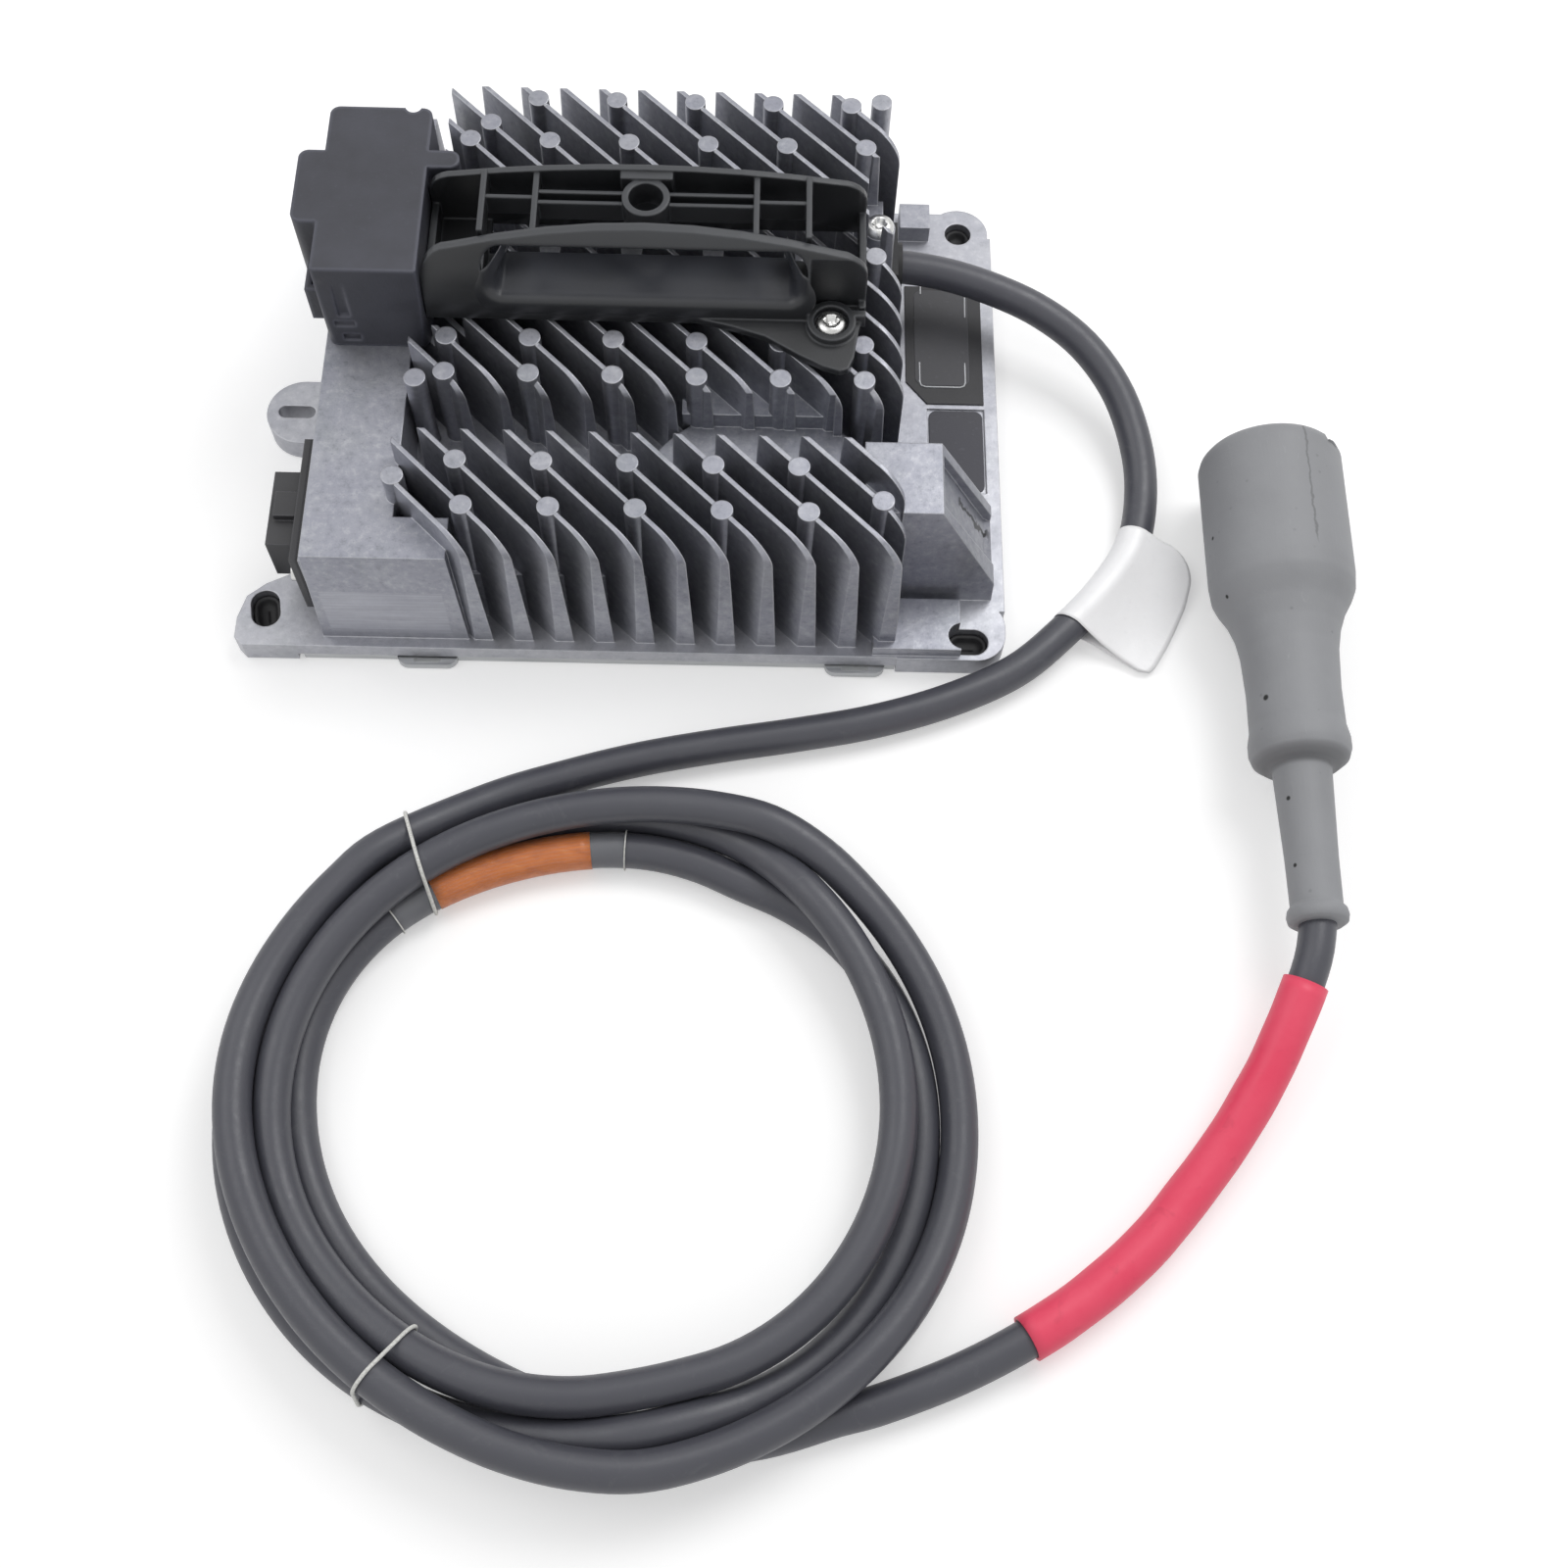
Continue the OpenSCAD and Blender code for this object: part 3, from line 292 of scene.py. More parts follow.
def point_at(line, share):
    """The point at a share of a line's points."""
    at = share * (len(line) - 1)
    i = min(int(at), len(line) - 2)
    return line[i].lerp(line[i + 1], at - i)


def nearest(line, point):
    """Place in the line of its point nearest to one given in mm."""
    return min(range(len(line)), key=lambda i: (line[i] - mm(*point)).length)


def add_object(name, data):
    """A new object at the origin."""
    piece = bpy.data.objects.new(name, data)
    bpy.context.scene.collection.objects.link(piece)
    return piece


def add_mesh(name, bm, finish, smooth=True):
    """A piece made from a bmesh, with its faces turned outwards."""
    mesh = bpy.data.meshes.new(name)
    bmesh.ops.recalc_face_normals(bm, faces=bm.faces)
    for face in bm.faces:
        face.smooth = smooth
    bm.to_mesh(mesh)
    bm.free()
    mesh.materials.append(finish)
    piece = add_object(name, mesh)
    return piece


def add_cord(name, lines, width, finish, sides=6, caps=True, closed=False):
    """Round cords along one line or several, as a curve with a bevel."""
    curve = bpy.data.curves.new(name, "CURVE")
    curve.dimensions = "3D"
    curve.bevel_depth = width / 2
    curve.bevel_resolution = sides
    curve.use_fill_caps = caps
    for line in lines:
        spline = curve.splines.new("POLY")
        spline.points.add(len(line) - 1)
        for point, place in zip(spline.points, line):
            point.co = (*place, 1)
        spline.use_cyclic_u = closed
    curve.materials.append(finish)
    return add_object(name, curve)


def add_tube(name, line, width, wall, finish, swell=None):
    """An open tube with a wall along a line. swell changes its radius along the way."""
    carrier = add_cord(name + "_line", [line], width, finish, 14, caps=False)
    if swell:
        for i, point in enumerate(carrier.data.splines[0].points):
            point.radius = swell(i / (len(line) - 1))
    mesh = bpy.data.meshes.new_from_object(carrier.evaluated_get(bpy.context.evaluated_depsgraph_get()))
    bm = bmesh.new()
    bm.from_mesh(mesh)
    bpy.data.meshes.remove(mesh)
    bpy.data.objects.remove(carrier)
    bmesh.ops.remove_doubles(bm, verts=bm.verts, dist=1e-6)
    piece = add_mesh(name, bm, finish)
    thicken(piece, wall)
    return piece


def thicken(piece, wall, offset=-1):
    """Gives a sheet its wall."""
    thick = piece.modifiers.new("wall", "SOLIDIFY")
    thick.thickness = wall
    thick.offset = offset


def add_rings(bm, rings, place, run=0.0, turn=0.0, segments=32, lobes=0.0, caps=True):
    """A turned body: rings of (radius, height) in mm, drawn out by a run, the last two with lobes."""
    place, turned = mm(*place), Matrix.Rotation(turn, 3, "Z")
    verts = bmesh.ops.create_circle(bm, segments=segments, radius=1)["verts"]
    edges = first = list({edge for vert in verts for edge in vert.link_edges})
    angles = {vert: atan2(vert.co.y, vert.co.x) for vert in verts}
    body = {}
    for i, (radius, height) in enumerate(rings):
        if i:
            new = bmesh.ops.extrude_edge_only(bm, edges=edges)["geom"]
            fresh = [g for g in new if isinstance(g, bmesh.types.BMVert)]
            edges = [g for g in new if isinstance(g, bmesh.types.BMEdge) and set(g.verts) <= set(fresh)]
            angles = {vert: atan2(vert.co.y, vert.co.x) for vert in fresh}
        for vert, angle in angles.items():
            wave = lobes * cos(6 * angle) if i >= len(rings) - 2 else 0
            r = radius * (1 + wave)
            vert.co = mm(r * cos(angle), r * sin(angle), height)
        body.update(angles)
    if caps:
        for loop in (first, edges):
            bmesh.ops.contextual_create(bm, geom=loop)
    for vert, angle in body.items():
        shift = copysign(run / 2, cos(angle)) if abs(cos(angle)) > 1e-6 else 0
        vert.co = turned @ (vert.co + mm(shift, 0, 0)) + place
    if not caps:
        bmesh.ops.remove_doubles(bm, verts=list(body), dist=1e-6)


def add_plate(name, low, high, corner, edge, finish):
    """A thin plate with round corners and broken edges, between two corners in mm."""
    bm = bmesh.new()
    bmesh.ops.create_grid(bm, x_segments=1, y_segments=1, size=0.5)
    low, high = mm(*low), mm(*high)
    size = high - low
    bmesh.ops.scale(bm, verts=bm.verts, vec=(size.x, size.y, 1))
    bmesh.ops.translate(bm, verts=bm.verts, vec=(low + high) / 2 - Vector((0, 0, size.z / 2)))
    bmesh.ops.bevel(
        bm, geom=bm.verts[:], offset=corner * MM, segments=6, profile=0.5, affect="VERTICES", material=-1
    )
    new = bmesh.ops.extrude_face_region(bm, geom=bm.faces[:])["geom"]
    top = [g for g in new if isinstance(g, bmesh.types.BMVert)]
    bmesh.ops.translate(bm, verts=top, vec=(0, 0, size.z))
    rim = [e for e in bm.edges if all(v in top for v in e.verts)]
    bmesh.ops.bevel(bm, geom=rim, offset=edge * MM, segments=2, profile=0.5, affect="EDGES", material=-1)
    return add_mesh(name, bm, finish, smooth=False)


def soften(node, width, segments=2):
    """Rounds the sharp edges of a CAD node."""
    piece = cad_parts[node]
    weld = piece.modifiers.new("join", "WELD")
    weld.merge_threshold = 1e-6
    bevel = piece.modifiers.new("edges", "BEVEL")
    bevel.width = width
    bevel.segments = segments
    bevel.limit_method = "ANGLE"
    bevel.angle_limit = radians(40)


class Nodes:
    """A tree of shader nodes."""

    def __init__(self, tree):
        self.tree = tree

    def fill(self, node, sockets):
        """Sets sockets of a node, or links others to them. None leaves one alone."""
        for name, value in sockets.items():
            socket = node.inputs[name]
            if isinstance(value, bpy.types.NodeSocket):
                self.tree.links.new(value, socket)
            elif socket.type == "RGBA" and len(value) == 3:
                socket.default_value = (*value, 1)
            elif value is not None:
                socket.default_value = value

    def add(self, kind, sockets=(), **settings):
        """A shader node with some of its settings and sockets filled in."""
        node = self.tree.nodes.new("ShaderNode" + kind)
        for name, value in settings.items():
            setattr(node, name, value)
        self.fill(node, dict(sockets))
        return node

    def remap(self, value, low, high, to_low=0.0, to_high=1.0):
        """The value moved from one range to another."""
        return self.add("MapRange", {
            "Value": value, "From Min": low, "From Max": high, "To Min": to_low, "To Max": to_high,
        }).outputs[0]

    def calc(self, operation, a, b=0.5):
        """One sum on one or two numbers."""
        return self.add("Math", {0: a, 1: b}, operation=operation).outputs[0]

    def in_sight(self):
        """1 for what is seen by the camera, in gloss or through something clear, and 0 for light."""
        path = self.add("LightPath").outputs
        seen = self.calc("MAXIMUM", path["Is Camera Ray"], path["Is Glossy Ray"])
        return self.calc("MAXIMUM", seen, path["Is Transmission Ray"])


class Finish(Nodes):
    """The nodes of one material. Its patterns lie on the object's own coordinates."""

    def __init__(self, name):
        self.material = bpy.data.materials.new(name)
        self.material.use_nodes = True
        super().__init__(self.material.node_tree)
        self.shader = self.tree.nodes["Principled BSDF"]
        self.place = self.add("TexCoord").outputs["Object"]

    def stretch(self, x, y, z, turn=(0, 0, 0)):
        """The place, scaled and turned."""
        node = self.add("Mapping", {"Vector": self.place, "Scale": (x, y, z), "Rotation": turn})
        return node.outputs[0]

    def noise(self, scale, detail=4, rough=0.6, place=None, twist=0):
        """Soft noise from 0 to 1."""
        return self.add("TexNoise", {
            "Vector": place or self.place, "Scale": scale, "Detail": detail, "Roughness": rough,
            "Distortion": twist,
        }).outputs[0]

    def cells(self, scale, spread=1):
        """Distance to the nearest of many scattered points."""
        sockets = {"Vector": self.place, "Scale": scale, "Randomness": spread}
        return self.add("TexVoronoi", sockets).outputs["Distance"]

    def axes(self, vector=None):
        """The three coordinates of the place, or of another vector."""
        return self.add("SeparateXYZ", {0: vector or self.place}).outputs

    def distance(self, point, place=None):
        """Distance of the place from a point given in mm."""
        sockets = {0: place or self.place, 1: mm(*point)}
        return self.add("VectorMath", sockets, operation="DISTANCE").outputs["Value"]

    def facing(self):
        """The way that the surface faces."""
        return self.add("NewGeometry").outputs["Normal"]

    def within(self, axes, **ranges):
        """1 where each coordinate lies in its range of (low, high, softness), and 0 elsewhere."""
        mask = 1.0
        for axis, (low, high, soft) in ranges.items():
            for start, end in ((low - soft, low + soft), (high + soft, high - soft)):
                mask = self.calc("MULTIPLY", self.remap(axes[axis], start, end), mask)
        return mask

    def mark(self, axes, across, middle, width, ranges):
        """A thin uneven line at one coordinate, as long as the ranges of the others."""
        wobble = self.remap(self.noise(260, 3, 0.5), 0.3, 0.7, -width, width)
        off = self.calc("ABSOLUTE", self.calc("ADD", self.calc("SUBTRACT", axes[across], middle), wobble))
        return self.calc("MULTIPLY", self.remap(off, width, width * 0.4), self.within(axes, **ranges))

    def ramp(self, value, *stops):
        """Colours along a value."""
        node = self.add("ValToRGB", {"Fac": value})
        elements = node.color_ramp.elements
        while len(elements) < len(stops):
            elements.new(0.5)
        for element, (at, color) in zip(elements, stops):
            element.position = at
            element.color = (*color, 1)
        return node.outputs["Color"]

    def blend(self, amount, a, b):
        """Two colours mixed by an amount."""
        return self.add("Mix", {0: amount, 6: a, 7: b}, data_type="RGBA").outputs[2]

    def tint(self, color, *steps):
        """The colour, moved step by step by a share towards a tone as a value goes from low to high."""
        for value, low, high, share, tone in steps:
            color = self.blend(self.remap(value, low, high, 0, share), color, tone)
        return color

    def edges(self, radius, worn_and_lit_reach=0.8):
        """The normal rounded at the edges, and a mask of those edges."""
        rounded = self.add("Bevel", {"Radius": radius}, samples=6).outputs[0]
        dot = self.add("VectorMath", {0: rounded, 1: self.facing()}, operation="DOT_PRODUCT")
        return rounded, self.remap(dot.outputs["Value"], 0.995, worn_and_lit_reach)

    def bump(self, height, distance, strength=1.0, normal=None):
        """A normal raised by a height."""
        sockets = {"Height": height, "Distance": distance, "Strength": strength, "Normal": normal}
        return self.add("Bump", sockets).outputs[0]

    def done(self, color, rough, normal=None, metal=0.0, more=()):
        """Fills in the shader and gives the material."""
        self.fill(self.shader, {
            "Base Color": color, "Roughness": rough, "Metallic": metal, "Normal": normal, **dict(more),
        })
        self.tree.nodes.active = self.shader
        return self.material


def shaded(color, share):
    """The colour made lighter or darker."""
    return tuple(min(c * share, 1) for c in color)


def dress(finish, *nodes):
    """Gives CAD nodes a finish."""
    for name in nodes:
        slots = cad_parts[name].data.materials
        slots.clear()
        slots.append(finish)


def color_prop(name, part, default):
    """The colour of a part, which a user may change."""
    return FloatVectorProperty(
        name=name, description=f"Colour of the {part}", default=default, subtype="COLOR", size=3, min=0, max=1,
    )


def length_prop(name, description, default, least, most):
    """A length that a user may change, in metres."""
    return FloatProperty(
        name=name, description=description, default=default, min=least, max=most, subtype="DISTANCE",
        unit="LENGTH",
    )


def angle_prop(name, description, degrees):
    """An angle that a user may change."""
    return FloatProperty(name=name, description=description, default=radians(degrees), subtype="ANGLE")


class CastingLook(PropertyGroup):
    """Colours and surface of the cast housing."""

    metal: color_prop("Metal", "cast metal on its open faces", (0.335, 0.34, 0.378))
    # The low metal is painted shade deep between the fins.
    shade: color_prop("Painted shade metal", "metal deep between the fins", (0.275, 0.28, 0.31))
    # The worn edges are partly wear and partly painted highlight.
    edge: color_prop("Worn and lit edges", "metal along its edges", (0.56, 0.57, 0.59))
    grain: length_prop("Grain", "Height of the cast grain", 0.00012, 0, 0.001)
    rounding: length_prop("Edge radius", "Radius that the metal's edges show", 0.0007, 0, 0.002)


class PlasticLook(PropertyGroup):
    """Colours of the black mouldings."""

    handle: color_prop("Handle", "handle", (0.017, 0.018, 0.02))
    cover: color_prop("Mains cover", "mains cover", (0.031, 0.032, 0.041))
    # The hollow's paler colour is painted sheen on the plastic that hands rub smooth.
    hollow: color_prop("Finger hollow sheen", "handle's hollow, rubbed smooth", (0.036, 0.038, 0.046))
    field: color_prop("Panel field", "field inside the panel's frame", (0.05, 0.05, 0.056))
    recess: color_prop("Recess panel", "panel in the flange's recess", (0.049, 0.049, 0.06))
    panel: color_prop("Black panel", "bare panel on the right flange", (0.018, 0.018, 0.021))


class CableLook(PropertyGroup):
    """Sizes and colours of the output cable and what it carries."""

    width: length_prop("Diameter", "Diameter of the output cable", 0.0125, 0.012, 0.0128)
    sleeve_width: length_prop("Sleeve diameter", "Diameter of the red sleeve", 0.0152, 0.014, 0.017)
    tie_width: length_prop("Tie diameter", "Diameter of the string round the coil", 0.0013, 0.0008, 0.002)
    jacket: color_prop("Jacket", "cable's rubber jacket", (0.06, 0.061, 0.076))
    sleeve: color_prop("Sleeve", "red sleeve", (0.8, 0.05, 0.115))
    wrap: color_prop("Wrap", "bare wrap under the clear tube", (0.66, 0.165, 0.004))
    film: color_prop("Flag", "bare flag on the cable", (0.97, 0.97, 0.98))
    plug: color_prop("Plug", "plug's rubber body", (0.283, 0.288, 0.302))


class ViewLook(PropertyGroup):
    """Camera, floor and lamps."""

    lens: FloatProperty(
        name="Lens", description="Focal length on a 36 mm sensor, in millimetres",
        min=20, max=120, default=43.84,
    )
    pitch: angle_prop("Look down", "Angle of the camera below the horizon", 65.89)
    yaw: angle_prop("Turn", "Angle of the camera to the right of straight back", 2.05)
    roll: angle_prop("Roll", "Turn of the camera about its own line of sight", 2.99)
    place: FloatVectorProperty(
        name="Camera place", description="Where the camera stands",
        subtype="TRANSLATION", unit="LENGTH", size=3, default=(0.04987, -0.42725, 0.62308),
    )
    floor: color_prop("Floor", "floor", (0.8, 0.8, 0.8))
    sky: FloatProperty(
        name="Room light", description="Strength of the even light of the room",
        min=0, max=2, default=0.6,
    )
    lamps: FloatProperty(
        name="Lamps", description="Power of the main soft lamp",
        subtype="POWER", unit="POWER", min=0, max=40, default=6.4,
    )


def cast_metal(look):
    """Cast aluminium, cloudy and grainy: painted shade between the fins, painted light low down, worn and lit
    edges.
    """
    f = Finish("cast_metal")
    round_normal, worn_and_lit_edge = f.edges(look.rounding)
    axes = f.axes()
    # Painted shade: the metal darkens with depth in the field of fins.
    depth = f.calc("MULTIPLY", f.remap(axes["Z"], 0.074, 0.03), f.within(axes, **FIN_FIELD))
    cloud = f.noise(14, twist=0.4)
    stain = f.noise(60, 5, 0.65)
    drip = f.noise(45, 4, 0.6, f.stretch(1, 1, 0.25), 0.5)
    fleck = f.noise(330, 4, 0.7)
    brushed = f.noise(1500, 2, 0.5, f.stretch(0.02, 1, 1))
    front = f.calc("MULTIPLY", f.remap(axes["Y"], -0.0955, -0.096), f.within(axes, **BRUSHED_FACE))
    scar = f.mark(axes, "Y", SCAR_Y, 0.0018, SCAR)
    color = f.tint(
        f.ramp(depth, (0, look.metal), (0.4, shaded(look.metal, 0.93)), (1, look.shade)),
        (cloud, 0.35, 0.7, 0.3, (0.16, 0.17, 0.24)),
        (stain, 0.45, 0.75, 0.175, (0.62, 0.63, 0.62)),
        (drip, 0.5, 0.78, 0.275, (0.1, 0.13, 0.12)),
        (fleck, 0.52, 0.72, 0.25, (0.66, 0.66, 0.67)),
        (fleck, 0.46, 0.3, 0.3, (0.09, 0.1, 0.11)),
        (f.cells(420), 0.16, 0, 0.35, (0.12, 0.12, 0.13)),
        # Painted light: the metal turns paler low down, on the flange and the feet.
        (axes["Z"], 0.016, 0.009, 0.16, (0.85, 0.85, 0.86)),
        (front, 0, 1, 0.75, f.ramp(brushed, (0.3, shaded(look.metal, 0.95)), (0.7, shaded(look.metal, 1.3)))),
        # Paler edges: partly wear, partly painted highlight.
        (worn_and_lit_edge, 0, 1, 0.7, look.edge),
        (scar, 0, 1, 0.9, (0.02, 0.02, 0.02)),
    )
    grain = f.calc("MULTIPLY", f.noise(1100, 2, 0.6), 0.5)
    rise = f.calc("ADD", grain, f.remap(stain, 0.3, 0.7, 0, 1.2))
    return f.done(color, f.remap(stain, 0.3, 0.75, 0.5, 0.36), f.bump(rise, look.grain, 0.6, round_normal), 0.8)


def plate_metal():
    """Rolled aluminium plate with fine lines along it."""
    f = Finish("plate_metal")
    lines = f.noise(40, 4, 0.6, f.stretch(1, 22, 22))
    color = f.ramp(lines, (0.3, (0.36, 0.37, 0.38)), (0.7, (0.56, 0.57, 0.58)))
    return f.done(color, f.remap(lines, 0.3, 0.7, 0.34, 0.5), f.bump(lines, 0.00005, 0.5), 0.9)


def bright_steel():
    """Plated steel of the screws, with turning marks and faint stains."""
    f = Finish("bright_steel")
    round_normal, worn_and_lit_edge = f.edges(0.0003)
    stain = f.noise(220, 3, 0.6)
    steel = f.ramp(stain, (0.3, (0.5, 0.5, 0.49)), (0.7, (0.74, 0.74, 0.73)))
    # Edges made paler: painted highlight on the steel, and wear.
    color, rough = f.blend(worn_and_lit_edge, steel, (0.9, 0.9, 0.9)), f.remap(stain, 0.3, 0.7, 0.2, 0.38)
    return f.done(color, rough, f.bump(stain, 0.00005, 0.4, round_normal), 1.0)


def moulded(
    name, color, grain=900, rise=0.00008, rough=(0.42, 0.6), radius=0.0006, dust=0.25, worn_and_lit_reach=0.8, rims=False
):
    """Moulded plastic with a spark-eroded grain, dust, and edges pale from wear and painted highlight. Hands rub
    the rims on top of the handle; these get painted highlight too.
    """
    f = Finish(name)
    round_normal, worn_and_lit_edge = f.edges(radius, worn_and_lit_reach)
    cloud = f.noise(24)
    fine = f.noise(grain, 2, 0.7)
    # Paler edges: partly wear, partly painted highlight.
    steps = [(cloud, 0.35, 0.72, dust, 2.6), (worn_and_lit_edge, 0, 1, 0.75, 4), (fine, 0.62, 0.8, 0.25, 3)]
    if rims:
        # Rims that face up and stand high: rubbed by hands, and painted highlight from above.
        rubbed_and_lit_tops, high = f.remap(f.axes(f.facing())["Z"], 0.6, 0.9), f.remap(f.axes()["Z"], 0.086, 0.09)
        steps.append((f.calc("MULTIPLY", rubbed_and_lit_tops, high), 0, 1, 0.7, 3.6))
    tone = f.tint(color, *((*step, shaded(color, shade)) for *step, shade in steps))
    return f.done(tone, f.remap(cloud, 0.3, 0.7, *rough), f.bump(fine, rise, 0.8, round_normal))


def rubber_jacket(look):
    """Matte rubber of the cable with scuffs, dust and the faint lay of the wires below."""
    f = Finish("cable_jacket")
    cloud = f.noise(17)
    scuff = f.noise(130, 4, 0.7, twist=1.2)
    tone = f.tint(
        look.jacket, (cloud, 0.35, 0.7, 0.7, (0.078, 0.08, 0.094)),
        (scuff, 0.58, 0.78, 0.4, (0.12, 0.125, 0.135)),
    )
    rise = f.bump(f.calc("ADD", f.noise(1500, 2, 0.6), f.calc("MULTIPLY", scuff, 1.5)), 0.00006, 0.7)
    return f.done(tone, f.remap(scuff, 0.3, 0.7, 0.33, 0.48), rise, more={"Specular IOR Level": 0.55})


def red_tube(look):
    """Shrunk red tubing, a little uneven, with faint creases across it."""
    f = Finish("red_tube")
    cloud = f.noise(40)
    crease = f.noise(120, 3, 0.6, twist=0.6)
    tone = f.tint(
        look.sleeve, (cloud, 0.35, 0.7, 0.5, (0.88, 0.11, 0.18)), (crease, 0.6, 0.8, 0.35, (0.42, 0.02, 0.05)),
    )
    return f.done(tone, f.remap(cloud, 0.3, 0.7, 0.36, 0.5), f.bump(crease, 0.0004, 0.5))


def plug_rubber(look):
    """Grey rubber of the plug: cloudy, with dark specks and chips, scratches, a rubbed grain, edges pale from wear
    and painted highlight, and painted shade behind its bead.
    """
    f = Finish("grey_rubber")
    round_normal, worn_and_lit_edge = f.edges(0.0035)[0], f.edges(0.0012)[1]
    axes = f.axes()
    cloud = f.noise(22)
    fine = f.noise(900, 2, 0.7)
    scratch = f.noise(90, 5, 0.7, f.stretch(6, 0.5, 6), 1.5)
    tone = f.tint(shaded(look.plug, 0.9), *((*step, shaded(look.plug, shade)) for *step, shade in (
        (cloud, 0.35, 0.7, 0.6, 1.18), (f.cells(120), 0.1, 0, 0.5, 0.4), (scratch, 0.64, 0.74, 0.3, 1.5),
        # Paler edges: wear and painted highlight. Darker band behind the bead: painted shade.
        (worn_and_lit_edge, 0, 1, 0.35, 1.5), (f.within(axes, **BEAD_SHADE), 0, 1, 0.6, 0.35),
        (f.mark(axes, "X", SCORE_X, 0.0005, SCORE), 0, 1, 0.6, 0.35),
    )))
    for *place, reach in PLUG_CHIPS:
        tone = f.tint(tone, (f.distance(place), reach * MM, 0.6 * reach * MM, 1, (0.01, 0.01, 0.01)))
    rise = f.calc("ADD", fine, f.calc("MULTIPLY", scratch, 1.2))
    return f.done(tone, f.remap(cloud, 0.3, 0.7, 0.5, 0.68), f.bump(rise, 0.00008, 0.7, round_normal))


def hollow_plastic(look):
    """The handle's plastic, rubbed smooth inside the hollow for the fingers, and paler there: painted sheen."""
    f = Finish("hollow_plastic")
    deep = f.remap(f.distance((0, BOW_Y, BOW_Z), f.stretch(0, 1, 1)), 0.0492, 0.0455)
    cloud = f.noise(24)
    # Paler inside the hollow: painted sheen.
    dusty = f.blend(deep, shaded(look.handle, 2.4), shaded(look.hollow, 1.7))
    tone = f.tint(f.blend(deep, look.handle, look.hollow), (cloud, 0.35, 0.72, 0.3, dusty))
    rough = f.calc("SUBTRACT", f.remap(cloud, 0.3, 0.7, 0.34, 0.46), f.calc("MULTIPLY", deep, 0.08))
    return f.done(tone, rough, f.bump(f.noise(1200, 2, 0.7), 0.00004, 0.8))


def orange_wrap(look):
    """Bare glossy orange film under the clear tube, creased along the cable."""
    f = Finish("orange_wrap")
    crease = f.noise(110, 4, 0.6, f.stretch(1, 3, 3), 0.8)
    tone = f.tint(
        look.wrap, (crease, 0.42, 0.75, 0.7, (0.38, 0.075, 0.004)), (crease, 0.4, 0.25, 0.45, (0.8, 0.34, 0.08)),
    )
    return f.done(tone, 0.4, f.bump(crease, 0.0004, 0.5), more={
        "Coat Weight": 0.25, "Coat Roughness": 0.12, "Specular IOR Level": 0.3,
    })


def clear_tube():
    """Clear glossy tubing, see-through, with a faint milky tone."""
    f = Finish("clear_tubing")
    crease = f.noise(150, 3, 0.6)
    tone = f.ramp(crease, (0.3, (0.62, 0.64, 0.66)), (0.7, (0.86, 0.88, 0.9)))
    return f.done(tone, 0.15, f.bump(crease, 0.0003, 0.4), more={
        "Alpha": 0.06, "Coat Weight": 0.5, "Coat Roughness": 0.08,
    })


def tie_string():
    """White string, a little soiled, with its twist."""
    f = Finish("white_cord")
    twist = f.noise(1400, 2, 0.6, f.stretch(1, 1, 2))
    tone = f.ramp(twist, (0.3, (0.52, 0.52, 0.49)), (0.7, (0.84, 0.84, 0.81)))
    return f.done(tone, 0.6, f.bump(twist, 0.0002, 0.8))


def white_film(look):
    """Bare white film of the flag, faintly creased."""
    f = Finish("white_film")
    crease = f.noise(70, twist=0.5)
    tone = f.tint(
        look.film, (crease, 0.4, 0.75, 0.4, shaded(look.film, 0.92)),
        (f.noise(420, 3, 0.6), 0.6, 0.8, 0.2, shaded(look.film, 0.75)),
    )
    return f.done(tone, f.remap(crease, 0.3, 0.7, 0.3, 0.45), f.bump(crease, 0.0006, 0.5))


def plain(name, low, high, scale=60, rough=(0.4, 0.6), metal=0.0):
    """A finish for a small or hidden piece: two close colours in a cloudy pattern."""
    f = Finish(name)
    cloud = f.noise(scale)
    color = f.ramp(cloud, (0.32, low), (0.68, high))
    return f.done(color, f.remap(cloud, 0.3, 0.7, *rough), f.bump(cloud, 0.00005, 0.6), metal)


def black_rubber():
    """Black moulded rubber of the seals, the gland and the grommets."""
    return plain("seal_rubber", (0.012, 0.012, 0.013), (0.035, 0.035, 0.037), 180, (0.5, 0.7))


def contact_metal():
    """Plated brass of the contacts."""
    return plain("contact_metal", (0.55, 0.4, 0.16), (0.85, 0.7, 0.38), 90, (0.18, 0.34), 1.0)


def board_lacquer():
    """Green circuit board with tracks and pads."""
    f = Finish("board_green")
    tracks = f.add("TexBrick", {
        "Vector": f.place, "Scale": 90, "Color1": (0.02, 0.16, 0.06), "Color2": (0.03, 0.21, 0.08),
        "Mortar": (0.06, 0.3, 0.12), "Mortar Size": 0.02, "Brick Width": 0.9, "Row Height": 0.25,
    }).outputs["Color"]
    pads = f.cells(260, 0.3)
    return f.done(f.tint(tracks, (pads, 0.24, 0.2, 1, (0.62, 0.6, 0.52))), 0.3, f.bump(pads, 0.00003, 0.4))


def wire_winding():
    """Enamelled copper wire in close turns, with painted shade between the turns and painted highlight on their
    crests.
    """
    f = Finish("copper_wire")
    wave = f.add("TexWave", {
        "Vector": f.stretch(1, 1, 1, (0.3, 0.3, 0)), "Scale": 260, "Distortion": 0.6, "Detail": 1,
    }, bands_direction="DIAGONAL").outputs["Fac"]
    # Dark in the grooves, bright on the crests: painted shade and highlight.
    color = f.ramp(wave, (0.0, (0.16, 0.05, 0.02)), (1.0, (0.7, 0.3, 0.13)))
    return f.done(color, 0.3, f.bump(wave, 0.0003, 1.0), 0.8)


